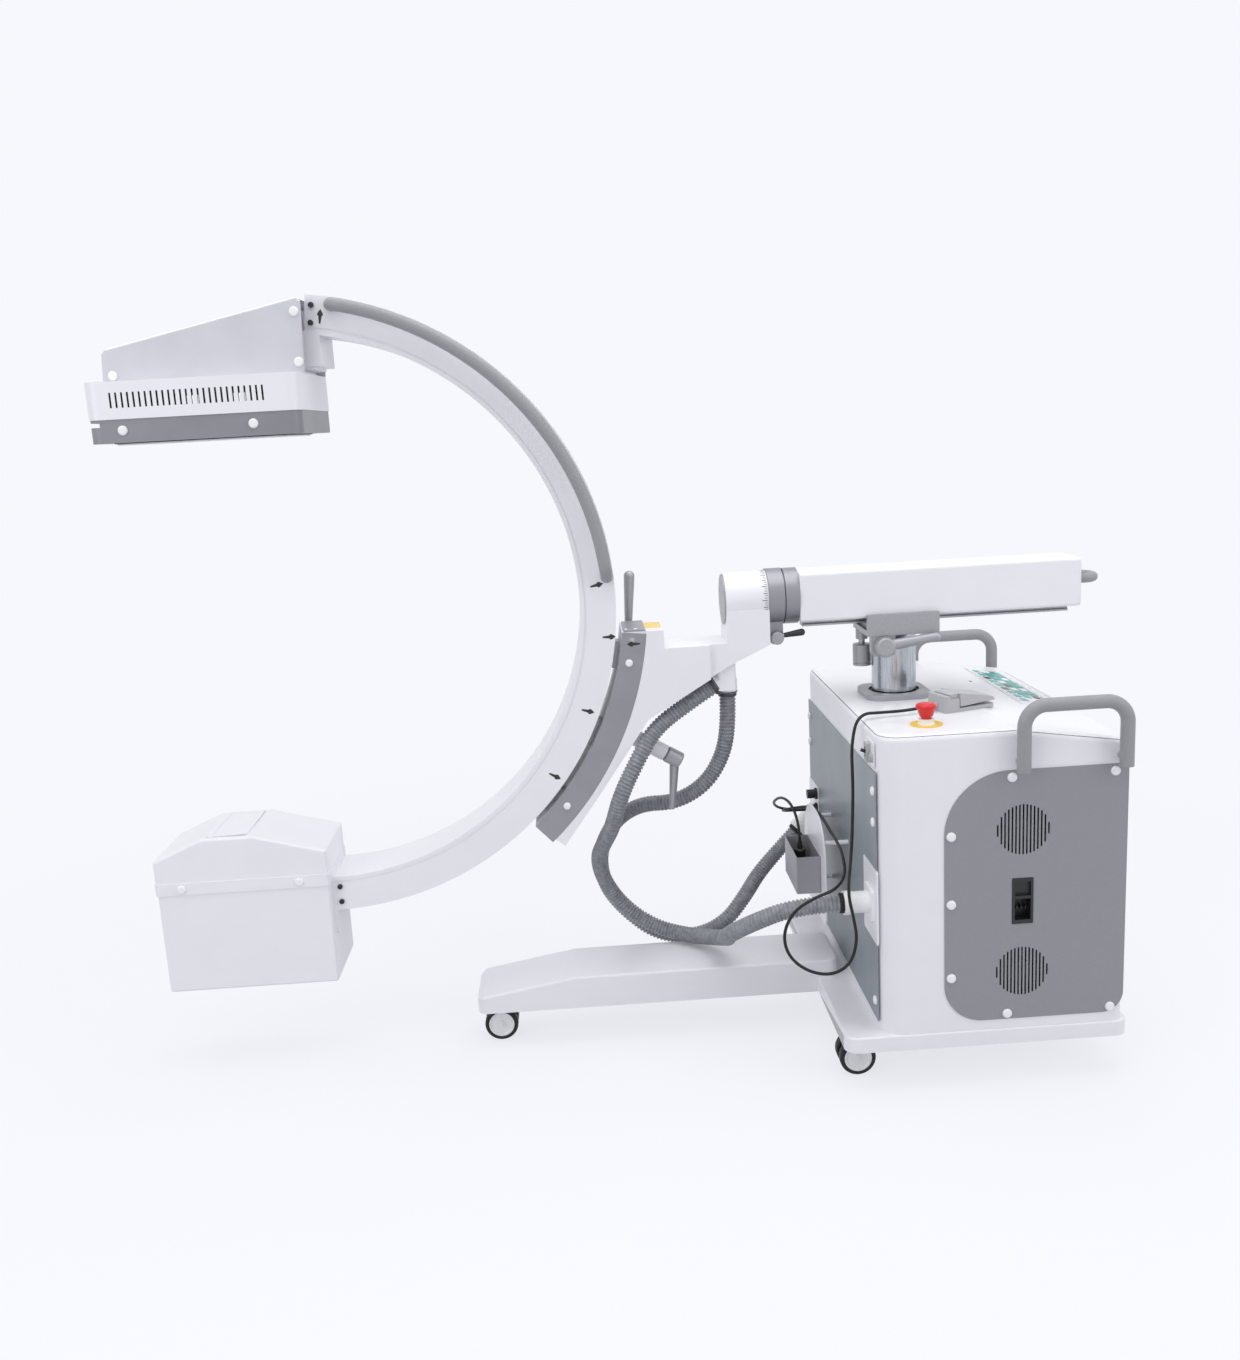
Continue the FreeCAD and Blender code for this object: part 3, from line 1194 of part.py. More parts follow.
def make_brake_lever():
    d = brake_axis()
    p = brake_root() - d * 44
    shaft = rod(tuple(p), tuple(d), 44 + BRAKE_BUSH_L + 4, BRAKE_SHAFT_D)
    hub_at = brake_root() + d * (BRAKE_BUSH_L + 2)
    hub = rod(tuple(hub_at), tuple(d), 38, BRAKE_HUB_D)
    hub = fillet_where(hub, 4, lambda e: e.Curve.TypeId == "Part::GeomCircle")
    root = hub_at + d * 22
    tip = root + V(-0.09, 0, -1).normalize() * 112
    arm = Part.makeCone(11, 7, (tip - root).Length, root, tip - root).fuse(Part.makeSphere(7, tip))
    return shaft.fuse(hub).fuse(arm).removeSplitter()


def make_side_lever():
    """Clamp lever on the far side of the shoe, standing up beside the C."""
    c = polar(SIDE_LEVER_R, SIDE_LEVER_ANGLE)
    y0 = CARR_W / 2 - 16
    hub = rod((c.x, CARR_W / 2 + GAP, c.z), (0, 1, 0), 22, 32)
    screw = rod((c.x, y0, c.z), (0, 1, 0), 20, 12)
    root, tip = V(c.x, CARR_W / 2 + 14, c.z), V(c.x + 8, CARR_W / 2 + 18, c.z + 116)
    arm = Part.makeCone(8, 12, (tip - root).Length, root, tip - root).fuse(Part.makeSphere(12, tip))
    return hub.fuse(screw).fuse(arm).removeSplitter()


def make_hose_bracket():
    """Block under the neck with one port for each hose."""
    body = fillet_where(box(-392, -352, -48, 44, 782, 860), 6, lambda e: along(e, "z"))
    near, far = hose_ports()
    body = body.fuse(rod(tuple(near[0] - near[1] * 26), tuple(near[1]), 26, HOSE_D + 8))
    body = body.fuse(rod(tuple(far[0] - far[1] * 30), tuple(far[1]), 30, HOSE_D + 8))
    for start, d in (near, far):
        body = body.cut(rod(tuple(start), tuple(d), 60, HOSE_D + 8))
    return body.cut(make_carriage()).removeSplitter()


def hose_ports():
    """Where each hose leaves the bracket, and in which direction."""
    ports = []
    for points in (HOSE_NEAR, HOSE_FAR):
        start = V(*points[0])
        ports.append((start, (V(*points[1]) - start).normalize()))
    return ports


# C profile and what it carries

def make_c_profile():
    """Hollow extrusion bent to a circle, with an undercut track in its outer face."""
    hw = C_WIDTH / 2
    r0, r1 = C_R - C_DEPTH, C_R
    a0, a1 = C_LOW_ANGLE, C_TOP_ANGLE
    section = sector(r0, r1, a0, a1, -hw, hw)
    section = section.cut(sector(r1 - TRACK_LIP, r1 + 1, a0 - 1, a1 + 1, -TRACK_MOUTH / 2, TRACK_MOUTH / 2))
    section = section.cut(sector(r1 - TRACK_LIP - TRACK_DEPTH, r1 - TRACK_LIP, a0 - 1, a1 + 1,
                                 -TRACK_W / 2, TRACK_W / 2))
    for s in (-1, 1):
        lo, hi = sorted((s * (hw - 2.0), s * (hw + 1)))
        section = section.cut(sector(r0 + 9, r0 + 14, a0 - 1, a1 + 1, lo, hi))
    return section


def c_handle():
    """Long grip tube beside the C, turned in at both ends to stand on its face."""
    y_face = -C_WIDTH / 2
    y = y_face - C_HANDLE_OFF
    r, bend = C_HANDLE_R, C_HANDLE_OFF - 6
    a0, a1 = C_HANDLE_A0, C_HANDLE_A1
    p0, p1 = polar(r, a0, y), polar(r, a1, y)

    def turned_in(p, t):
        foot = p + t * bend + V(0, bend, 0)
        m = p + t * (bend * math.sin(math.pi / 4)) + V(0, bend * (1 - math.cos(math.pi / 4)), 0)
        return m, foot, V(foot.x, y_face, foot.z)

    t0 = V(math.sin(math.radians(a0)), 0, -math.cos(math.radians(a0)))
    t1 = V(-math.sin(math.radians(a1)), 0, math.cos(math.radians(a1)))
    m0, foot0, base0 = turned_in(p0, t0)
    m1, foot1, base1 = turned_in(p1, t1)
    edges = [
        Part.LineSegment(base0, foot0).toShape(),
        Part.Arc(foot0, m0, p0).toShape(),
        Part.Arc(p0, polar(r, (a0 + a1) / 2, y), p1).toShape(),
        Part.Arc(p1, m1, foot1).toShape(),
        Part.LineSegment(foot1, base1).toShape(),
    ]
    profile = Part.Wire(Part.makeCircle(C_HANDLE_D / 2, base0, V(0, -1, 0)))
    return Part.Wire(edges).makePipeShell([profile], True, False)


def at_c(x0, x1, y0, y1, z0, z1):
    return box(C_X + x0, C_X + x1, y0, y1, C_Z + z0, C_Z + z1)


def make_det_band():
    """White band with vent slots in both long sides."""
    hw = DET_W / 2
    band = fillet_where(at_c(DET_X0, DET_X1, -hw, hw, DET_BAND_Z0, DET_BAND_Z1), DET_R, lambda e: along(e, "z"))
    t = DET_WALL
    hollow = fillet_where(at_c(DET_X0 + t, DET_X1 - t, -hw + t, hw - t, DET_BAND_Z0 - 1, DET_BAND_Z1 - t),
                          DET_R - t, lambda e: along(e, "z"))
    band = band.cut(hollow)
    z = C_Z + (DET_BAND_Z0 + DET_BAND_Z1) / 2
    for i in range(VENT_COUNT):
        x = C_X + VENT_X0 + VENT_PITCH * i
        band = band.cut(box(x, x + VENT_W, -hw - 1, hw + 1, z - VENT_H / 2, z + VENT_H / 2))
    return band


def make_det_rim():
    """Grey lower rim that holds the window, with the grid slot at its free end."""
    hw = DET_W / 2 - 2
    rim = fillet_where(at_c(DET_X0 + 2, DET_X1 - 2, -hw, hw, DET_RIM_Z0, DET_BAND_Z0), DET_R - 2,
                       lambda e: along(e, "z"))
    rim = rim.cut(at_c(DET_X0 + 34, DET_X1 - 26, -hw + 24, hw - 24, DET_RIM_Z0 - 1, DET_BAND_Z0 + 1))
    return rim.cut(at_c(DET_X0 + 1, DET_X0 + 26, -hw - 1, hw + 1, DET_BAND_Z0 - 14, DET_BAND_Z0 - 5))


def make_det_window():
    hw = DET_W / 2 - 26
    return at_c(DET_X0 + 34 + GAP, DET_X1 - 26 - GAP, -hw + GAP, hw - GAP, DET_RIM_Z0 + 2, DET_RIM_Z0 + 5)


def make_det_panel():
    hw = DET_W / 2 - 26
    return at_c(DET_X0 + 38, DET_X1 - 30, -hw + 4, hw - 4, DET_RIM_Z0 + 5, DET_RIM_Z0 + 22)


def make_det_hood():
    """Sloped cover over the C's upper end, open below, with the C let in at the right."""
    outer = [(HOOD_X0, DET_BAND_Z1), (HOOD_X0 + 4, HOOD_LOW - 8), (HOOD_X0 + 12, HOOD_LOW),
             (HOOD_X1 - 8, HOOD_HIGH), (HOOD_X1, HOOD_HIGH - 8), (HOOD_X1 - 5, DET_BAND_Z1)]
    t = DET_WALL
    inner = [(HOOD_X0 + t, DET_BAND_Z1 - 1), (HOOD_X0 + 4 + t, HOOD_LOW - 10), (HOOD_X0 + 14, HOOD_LOW - t),
             (HOOD_X1 - 10, HOOD_HIGH - t), (HOOD_X1 + 9, HOOD_HIGH - t), (HOOD_X1 + 9, DET_BAND_Z1 - 1)]
    out = prism_y([(C_X + x, C_Z + z) for x, z in outer], HOOD_W)
    out = fillet_where(out, 5, lambda e: not along(e, "y") and mid(e).z > C_Z + DET_BAND_Z1 + 2)
    return out.cut(prism_y([(C_X + x, C_Z + z) for x, z in inner], HOOD_W - 2 * t))


def make_mount_brackets():
    """Steel brackets that bolt the detector and the tube unit to the two ends of the C."""
    hw = C_WIDTH / 2
    top = DET_BAND_Z1
    end = polar(C_R - C_DEPTH, C_TOP_ANGLE)
    ex, ez = end.x - C_X, end.z - C_Z
    x0 = HOOD_X0 + 60
    upper = at_c(x0, DET_X1 - 8, -hw, hw, top, top + 8)
    for s in (-1, 1):
        side = s * (hw - 4)
        cheek = [(x0 + 20, top + 7), (x0 + 40, top + 50), (ex - 4, HOOD_HIGH - 22), (ex - 4, top + 7)]
        upper = upper.fuse(prism_y([(C_X + x, C_Z + z) for x, z in cheek], 8, side))
    upper = upper.fuse(at_c(ex - 44, ex + 12, -hw + 10, hw - 10, top + 7, HOOD_HIGH - 22))
    foot = [(ex - 8, top + 13), (ex - 8, ez + 6), (ex + 28, ez + 6), (ex + 28, top + 13)]
    upper = upper.fuse(prism_y([(C_X + x, C_Z + z) for x, z in foot], C_WIDTH))
    upper = upper.cut(make_c_profile())
    lower = at_c(TUBE_X1 - 3, 0, -hw, hw, TUBE_Z1 - 120, TUBE_Z1)
    lower = lower.fuse(at_c(TUBE_X1, 0, -hw, hw, TUBE_Z1, TUBE_Z1 + 10))
    return group([upper.removeSplitter(), lower.removeSplitter()])


def make_tube_box():
    hw = TUBE_W / 2
    shell = at_c(TUBE_X0 + 4, TUBE_X1 - 3, -hw + 3, hw - 3, TUBE_Z0, TUBE_Z1)
    shell = fillet_where(shell, 6, lambda e: along(e, "z") or mid(e).z < C_Z + TUBE_Z0 + 1)
    t = TUBE_WALL
    return shell.cut(at_c(TUBE_X0 + 4 + t, TUBE_X1 - 3 - t, -hw + 3 + t, hw - 3 - t, TUBE_Z0 + t, TUBE_Z1 + 1))


def make_tube_flange():
    hw = TUBE_W / 2
    z1 = TUBE_Z1 + TUBE_FLANGE_H
    body = fillet_where(at_c(TUBE_X0, TUBE_X1, -hw, hw, TUBE_Z1, z1), 8, lambda e: along(e, "z"))
    return body.cut(at_c(TUBE_X0 + 14, TUBE_X1 - 14, -hw + 14, hw - 14, TUBE_Z1 - 1, z1 + 1))


def tube_lid_profile(inset):
    z0 = TUBE_Z1 + TUBE_FLANGE_H
    side = z0 + TUBE_LID_SIDE - inset
    top = TUBE_LID_TOP - inset
    x0, x1 = TUBE_X0 + 2 + inset, TUBE_X1 - 2 - inset
    return [(x0, z0 - (1 if inset else 0)), (x0, side), (x0 + 105, top), (x1 - 152, top), (x1, side + 2),
            (x1, z0 - (1 if inset else 0))]


def make_tube_lid():
    place = [(C_X + x, C_Z + z) for x, z in tube_lid_profile(0.0)]
    lid = prism_y(place, TUBE_W - 4)
    z0 = C_Z + TUBE_Z1 + TUBE_FLANGE_H
    lid = fillet_where(lid, 6, lambda e: mid(e).z > z0 + 1)
    inner = [(C_X + x, C_Z + z) for x, z in tube_lid_profile(TUBE_WALL)]
    lid = lid.cut(prism_y(inner, TUBE_W - 4 - 2 * TUBE_WALL))
    x0, x1, hw = beam_port()
    return lid.cut(at_c(x0, x1, -hw, hw, TUBE_LID_TOP - 20, TUBE_LID_TOP + 20))


def beam_port():
    """The lid's opening: its two ends from the C's centre, and half its width."""
    return TUBE_X0 + 124, TUBE_X1 - 174, 78.0


def make_beam_window():
    """Clear plate set in the lid, with a thin raised frame."""
    x0, x1, hw = beam_port()
    z1 = TUBE_LID_TOP
    plate = at_c(x0 + GAP, x1 - GAP, -hw + GAP, hw - GAP, z1 - 3, z1 + 1)
    frame = at_c(x0 - 7, x1 + 7, -hw - 7, hw + 7, z1, z1 + 2.5)
    frame = fillet_where(frame, 4, lambda e: along(e, "z"))
    return plate.fuse(frame.cut(at_c(x0 + 5, x1 - 5, -hw + 5, hw - 5, z1 - 1, z1 + 4))).removeSplitter()


def make_tube_insert():
    """Oil-filled tube tank and the collimator above it."""
    xm = C_X + (TUBE_X0 + TUBE_X1) / 2
    tank_z = C_Z + TUBE_Z0 + TUBE_WALL
    tank = box(xm - 130, xm + 130, -80, 80, tank_z, tank_z + TANK_H)
    tank = fillet_where(tank, 12, lambda e: along(e, "z"))
    x0, x1, hw = beam_port()
    port_x = C_X + (x0 + x1) / 2
    tank = tank.fuse(rod((port_x, 0, tank_z + TANK_H), (0, 0, 1), 20, 90))
    z1 = C_Z + TUBE_LID_TOP - 23
    return tank.fuse(box(port_x - 50, port_x + 50, -60, 60, tank_z + TANK_H + 20, z1)).removeSplitter()


def c_end_bolts():
    """Socket bolts through both ends of the C, on both sides."""
    made = []
    hw = C_WIDTH / 2
    spots = [(a, C_R - row) for a in (C_TOP_ANGLE - 1.2, C_LOW_ANGLE + 1.2) for row in BOLT_ROWS]
    for s in (-1, 1):
        for a, r in spots:
            p = polar(r, a, s * hw)
            head = rod(tuple(p), (0, s, 0), 4, BOLT_D)
            made.append(head.cut(rod((p.x, p.y + s * 2, p.z), (0, s, 0), 4, 5)))
    return made


def detector_screws():
    hw = DET_W / 2 - 2
    hood = HOOD_W / 2
    z_rim = C_Z + (DET_RIM_Z0 + DET_BAND_Z0) / 2 + 1
    made = []
    for s in (-1, 1):
        for x in (DET_X0 + 69, DET_X1 - 94):
            made.append(dome_screw((C_X + x, s * hw, z_rim), (0, s, 0)))
        for x, z in ((HOOD_X1 - 14, HOOD_HIGH - 28), (HOOD_X1 - 14, DET_BAND_Z1 + 20), (HOOD_X0 + 22, DET_BAND_Z1 + 12)):
            made.append(dome_screw((C_X + x, s * hood, C_Z + z), (0, s, 0)))
    return made


def tube_screws():
    hw = TUBE_W / 2
    z = C_Z + TUBE_Z1 + TUBE_FLANGE_H / 2
    return [dome_screw((C_X + x, s * hw, z), (0, s, 0)) for s in (-1, 1) for x in (TUBE_X0 + 58, TUBE_X1 - 64)]


def carriage_screws():
    made = []
    for s in (-1, 1):
        for a in (-11.7, -40.7):
            p = polar((CARR_R0 + CARR_R1) / 2 - 4, a, s * CARR_W / 2)
            made.append(dome_screw(tuple(p), (0, s, 0), SCREW_D - 3))
    return made


def power_unit():
    z0 = CHASSIS_BOTTOM + CHASSIS_H
    body = box(80, 330, -330, -110, z0, z0 + 12)
    core = box(110, 300, -300, -140, z0 + 12, z0 + 150)
    return fillet_where(core, 8, lambda e: along(e, "z")).fuse(body).removeSplitter()


def intake_filter():
    """Filter mats behind the far side's grilles."""
    y1 = CAB_W / 2 - CAB_WALL
    h = FAN_SIZE / 2
    return group([rounded_plate_y(FAN_X - h, FAN_X + h, y1 - 12, y1, z - h, z + h, 8)
                  for z in (FAN_UPPER_Z, FAN_LOWER_Z)])


def inverter():
    z0 = CHASSIS_BOTTOM + CHASSIS_H
    body = box(90, 330, 110, 320, z0, z0 + 340)
    for i in range(10):
        y = 118 + 20 * i
        body = body.cut(box(84, 96, y, y + 12, z0 + 30, z0 + 320))
    return body


def fixed_parts():
    """Everything on the chassis that does not turn with the arm."""
    parts = {}
    parts["chassis_frame"] = group([make_chassis()] + [caster_plate(x, y) for x, y in caster_mounts()])
    parts["front_leg"] = make_leg()
    parts["cabinet_housing"] = make_cabinet()
    parts["side_panels"] = group([side_panel(True), mirrored(side_panel(False))])
    parts["front_panel"] = make_front_panel()
    sockets = [hose_socket(HOSE_NEAR, False), hose_socket(HOSE_FAR, True)]
    parts["connection_plates"] = group([make_link_plates()] + sockets)
    parts["cable_sockets"] = group(jacks() + [make_inlet()])
    parts["breaker_plate"] = make_breaker_plate()
    parts["breaker_toggle"] = make_breaker_toggle()
    parts["start_button"] = make_start_button()
    parts["cable_hanger"] = group([make_hanger(), make_pocket()])
    parts["hand_switch"] = make_hand_switch()
    parts["stop_base"] = group([make_stop_plate(), make_stop_collar()])
    parts["stop_button"] = make_stop_button()
    parts["pedal_base"] = make_pedal_base()
    parts["pedal_treadle"] = make_treadle()
    parts["control_panel"] = make_keypad()
    parts["push_handles"] = group([push_handle(), mirrored(push_handle())])
    near = side_screws()
    parts["cabinet_screws"] = group(near + [mirrored(s) for s in near] + front_screws())
    parts["fan_rotor_upper"] = fan_rotor(FAN_UPPER_Z)
    parts["fan_rotor_lower"] = fan_rotor(FAN_LOWER_Z)
    frames = [fan_frame(z) for z in (FAN_UPPER_Z, FAN_LOWER_Z)]
    parts["cabinet_internals"] = group(frames + [power_unit(), inverter(), intake_filter()])
    parts["column_flange"] = group([make_flange(), make_seal()])
    parts["lift_guide"] = group([make_guide_tube(), make_actuator_body()])
    for i, (x, y) in enumerate(caster_mounts()):
        parts["caster_fork_%d" % (i + 1)] = caster_fork(x, y)
        parts["caster_wheel_%d" % (i + 1)] = group([caster_tyres(x, y), caster_discs(x, y)])
    return parts


def arm_parts():
    """The column, the saddle on it, and the sliding arm."""
    parts = {}
    parts["column_inner"] = group([make_column(), make_washer(), make_actuator_rod()])
    parts["saddle"] = group([make_saddle(), make_index_sleeve(), make_bearings()])
    parts["saddle_lock_lever"] = make_lock_lever()
    parts["index_knob"] = make_index_knob()
    parts["arm_beam"] = group([make_arm(), make_arm_cap(), make_rail(), make_arm_handle()])
    parts["rotation_bearing"] = group([make_bearing_flange(), make_rotation_shaft(), make_lock_collar()])
    parts["clamp_lever"] = make_clamp_lever()
    return parts


def carriage_parts():
    parts = {}
    parts["rotation_drum"] = make_drum()
    parts["carriage_body"] = make_carriage()
    covers = [arc_plate(-1), arc_plate(1), make_top_plate(), make_cap()]
    parts["carriage_covers"] = group(covers + carriage_screws())
    parts["roller_bogies"] = group([make_bogies(), make_rollers()])
    parts["orbital_lock_lever"] = make_brake_lever()
    parts["side_clamp_lever"] = make_side_lever()
    parts["hose_bracket"] = make_hose_bracket()
    return parts


def c_parts():
    parts = {}
    parts["c_profile"] = make_c_profile()
    parts["c_handles"] = group([c_handle(), mirrored(c_handle())])
    parts["detector_housing"] = group([make_det_band(), make_det_hood()])
    parts["detector_rim"] = group([make_det_rim(), make_det_window(), make_det_panel()])
    parts["mount_brackets"] = make_mount_brackets()
    parts["tube_housing"] = group([make_tube_box(), make_tube_flange(), make_tube_lid()])
    parts["xray_source"] = group([make_tube_insert(), make_beam_window()])
    parts["head_screws"] = group(detector_screws() + tube_screws() + c_end_bolts())
    return parts


def cord_parts():
    """The two hoses and the two thin cables, which bend with the unit."""
    parts = {}
    parts["hose_near"] = cord("hose_near", [V(*p) for p in HOSE_NEAR], HOSE_D)
    parts["hose_far"] = cord("hose_far", [V(*p) for p in HOSE_FAR], HOSE_D)
    parts["pedal_cable"] = cord("pedal_cable", [V(*p) for p in PEDAL_CABLE], CABLE_D)
    parts["switch_cable"] = cord("switch_cable", [V(*p) for p in SWITCH_CABLE], CABLE_D)
    return parts


def save(name, shape):
    moved = shape.copy()
    moved.translate(V(COLUMN_X, 0, 0))
    bad = [s for s in moved.Solids if not s.isValid()]
    if bad or not moved.Solids:
        print("CHECK", name, "solids", len(moved.Solids), "bad", len(bad))
    moved.exportStep("parts/%s.step" % name)


os.makedirs("parts", exist_ok=True)
for made in (fixed_parts(), arm_parts(), carriage_parts(), c_parts(), cord_parts()):
    for part_name, part_shape in made.items():
        save(part_name, part_shape)
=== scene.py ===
import math

import bmesh
import bpy
from mathutils import Matrix, Vector


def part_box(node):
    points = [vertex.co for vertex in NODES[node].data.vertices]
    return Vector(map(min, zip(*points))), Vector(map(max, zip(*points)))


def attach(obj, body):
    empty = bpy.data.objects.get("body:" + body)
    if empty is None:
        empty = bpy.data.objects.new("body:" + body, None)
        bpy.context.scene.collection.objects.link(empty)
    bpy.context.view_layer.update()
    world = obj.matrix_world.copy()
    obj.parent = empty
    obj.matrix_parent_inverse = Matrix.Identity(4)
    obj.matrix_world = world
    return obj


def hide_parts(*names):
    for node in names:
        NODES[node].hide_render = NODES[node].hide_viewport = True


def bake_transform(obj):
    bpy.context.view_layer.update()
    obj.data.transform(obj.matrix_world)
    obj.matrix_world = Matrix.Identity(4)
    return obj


# Mobile C-arm X-ray unit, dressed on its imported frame. Metres, +Z up.
# Places are given in millimetres from the foot of the lifting column's axis, as a fitter would measure them.

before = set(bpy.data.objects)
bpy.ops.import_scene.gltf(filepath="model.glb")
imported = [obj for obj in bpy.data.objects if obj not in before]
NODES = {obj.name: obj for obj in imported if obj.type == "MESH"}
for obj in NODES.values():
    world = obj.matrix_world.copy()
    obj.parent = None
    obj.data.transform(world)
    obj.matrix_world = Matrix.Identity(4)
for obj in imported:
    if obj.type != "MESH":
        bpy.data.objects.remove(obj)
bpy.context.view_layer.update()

column_lo, column_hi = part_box("column_inner")
COLUMN_X = (column_lo.x + column_hi.x) / 2
MM = 0.001


def at(x, y, z):
    """A point given in millimetres from the column's foot, in the frame's metres."""
    return Vector((COLUMN_X + x * MM, y * MM, z * MM))


# Camera, where the photograph was taken from

CAMERA_AT = (-677.4, -2639.8, 1350.6)
CAMERA_YAW = 0.0296
CAMERA_PITCH = -0.2019
CAMERA_ROLL = -0.0557
CAMERA_LENS = 32.855
SENSOR_WIDTH = 36.0


def place_camera():
    """Turns by yaw and pitch from a view along +Y, then rolls about the line of sight."""
    forward = Vector((math.sin(CAMERA_YAW) * math.cos(CAMERA_PITCH),
                      math.cos(CAMERA_YAW) * math.cos(CAMERA_PITCH), math.sin(CAMERA_PITCH)))
    right = forward.cross(Vector((0, 0, 1))).normalized()
    up = right.cross(forward)
    c, s = math.cos(CAMERA_ROLL), math.sin(CAMERA_ROLL)
    right, up = right * c + up * s, up * c - right * s
    data = bpy.data.cameras.new("camera")
    data.lens = CAMERA_LENS
    data.sensor_width = SENSOR_WIDTH
    data.clip_end = 50.0
    camera = bpy.data.objects.new("camera", data)
    camera.matrix_world = Matrix((
        (right.x, up.x, -forward.x, 0), (right.y, up.y, -forward.y, 0), (right.z, up.z, -forward.z, 0),
        (0, 0, 0, 1)))
    camera.location = at(*CAMERA_AT)
    bpy.context.scene.collection.objects.link(camera)
    bpy.context.scene.camera = camera


place_camera()


# Materials

def levels(code):
    """Red, green and blue of a hex code, from 0 to 255."""
    return [int(code[i:i + 2], 16) for i in (0, 2, 4)]


def linear(code):
    """A linear RGBA colour from an sRGB hex code."""
    out = []
    for level in levels(code):
        c = level / 255
        out.append(c / 12.92 if c <= 0.04045 else ((c + 0.055) / 1.055) ** 2.4)
    return (*out, 1.0)


def add(tree, kind, settings=None, links=None):
    """Adds a node, with its settings or socket values, and links into its sockets."""
    node = tree.nodes.new(kind)
    for key, value in (settings or {}).items():
        if isinstance(key, int) or key in node.inputs:
            node.inputs[key].default_value = value
        else:
            setattr(node, key, value)
    for key, source in (links or {}).items():
        tree.links.new(source, node.inputs[key])
    return node


def start_material(name, shader_settings):
    """A new material with its shader, and the place on the piece that its patterns are drawn by."""
    material = bpy.data.materials.new(name)
    material.use_nodes = True
    tree = material.node_tree
    tree.nodes.clear()
    shader = add(tree, "ShaderNodeBsdfPrincipled", shader_settings)
    add(tree, "ShaderNodeOutputMaterial", links={"Surface": shader.outputs[0]})
    place = add(tree, "ShaderNodeTexCoord").outputs["Object"]
    return material, tree, shader, place


def grain(tree, place, size_mm, detail=2.0):
    """Fine noise whose lumps are about size_mm across."""
    return add(tree, "ShaderNodeTexNoise", {"Scale": 1000.0 / size_mm, "Detail": detail}, {"Vector": place})


def tint(tree, fac, dark, light, low=0.35, high=0.65):
    """Runs from the dark colour to the light one as a pattern's value goes from low to high."""
    ramp = add(tree, "ShaderNodeValToRGB", links={"Fac": fac})
    ramp.color_ramp.elements[0].position = low
    ramp.color_ramp.elements[0].color = linear(dark)
    ramp.color_ramp.elements[1].position = high
    ramp.color_ramp.elements[1].color = linear(light)
    return ramp.outputs["Color"]


def relief(tree, shader, height, depth_mm, strength=1.0, edge_mm=0.0):
    """Bump of depth_mm, over edges softened by edge_mm."""
    links = {"Height": height}
    if edge_mm:
        links["Normal"] = add(tree, "ShaderNodeBevel", {"Radius": edge_mm * MM}).outputs[0]
    bump = add(tree, "ShaderNodeBump", {"Strength": strength, "Distance": depth_mm * MM}, links)
    tree.links.new(bump.outputs[0], shader.inputs["Normal"])


def powder_coated_steel(name, dark, light, roughness=0.36, coat=0.12):
    """Baked powder paint on sheet steel: an even colour with a slight orange peel, 2.4 mm across."""
    material, tree, shader, place = start_material(
        name, {"Roughness": roughness, "Coat Weight": coat, "Coat Roughness": 0.25})
    broad = grain(tree, place, 90.0, 3.0)
    tree.links.new(tint(tree, broad.outputs["Fac"], dark, light), shader.inputs["Base Color"])
    peel = grain(tree, place, 2.4)
    relief(tree, shader, peel.outputs["Fac"], 0.05, 0.35)
    return material


def textured_powder_coat(name, dark, light):
    """Fine textured powder paint: matte, with a sandy speckle, drawn as coarse as 1.5 mm so that it shows."""
    material, tree, shader, place = start_material(name, {"Roughness": 0.5})
    speck = grain(tree, place, 1.5, 4.0)
    tree.links.new(tint(tree, speck.outputs["Fac"], dark, light, 0.3, 0.7), shader.inputs["Base Color"])
    relief(tree, shader, speck.outputs["Fac"], 0.08, 0.4, 0.8)
    return material


def brushed_steel(name, colour, streak_mm, roughness):
    """Polished stainless or zinc plated steel: fine upright streaks that blur its reflections."""
    material, tree, shader, place = start_material(
        name, {"Metallic": 1.0, "Roughness": roughness, "Anisotropic": 0.5})
    squeezed = add(tree, "ShaderNodeMapping", {"Scale": (1.0, 1.0, 0.02)}, {"Vector": place})
    streak = grain(tree, squeezed.outputs[0], streak_mm, 4.0)
    dark = "%02X%02X%02X" % tuple(int(level * 0.8) for level in levels(colour))
    tree.links.new(tint(tree, streak.outputs["Fac"], dark, colour, 0.3, 0.7), shader.inputs["Base Color"])
    relief(tree, shader, streak.outputs["Fac"], 0.02, 0.3)
    return material


def grey_aluminium(name, dark, light, grain_mm, depth_mm, metal):
    """Cast or machined aluminium under a thin lacquer: a faint grain and a soft metallic sheen."""
    material, tree, shader, place = start_material(name, {"Metallic": metal, "Roughness": 0.4})
    skin = grain(tree, place, grain_mm, 5.0)
    tree.links.new(tint(tree, skin.outputs["Fac"], dark, light), shader.inputs["Base Color"])
    relief(tree, shader, skin.outputs["Fac"], depth_mm, 0.3, 1.2)
    return material


def moulded_plastic(name, dark, light, roughness=0.42):
    """Injection-moulded ABS or nylon: one colour through, with a fine spark-eroded grain of 1 mm."""
    material, tree, shader, place = start_material(name, {"Roughness": roughness, "IOR": 1.54})
    pebble = grain(tree, place, 1.0)
    tree.links.new(tint(tree, pebble.outputs["Fac"], dark, light), shader.inputs["Base Color"])
    relief(tree, shader, pebble.outputs["Fac"], 0.04, 0.3, 1.0)
    return material


def rubber(name, dark, light, roughness):
    """Moulded rubber, polyurethane or PVC: dull, with a slight bloom that lightens it in patches."""
    material, tree, shader, place = start_material(
        name, {"Roughness": roughness, "Specular IOR Level": 0.35})
    bloom = grain(tree, place, 12.0, 4.0)
    tree.links.new(tint(tree, bloom.outputs["Fac"], dark, light), shader.inputs["Base Color"])
    fine = grain(tree, place, 0.8)
    relief(tree, shader, fine.outputs["Fac"], 0.05, 0.3)
    return material


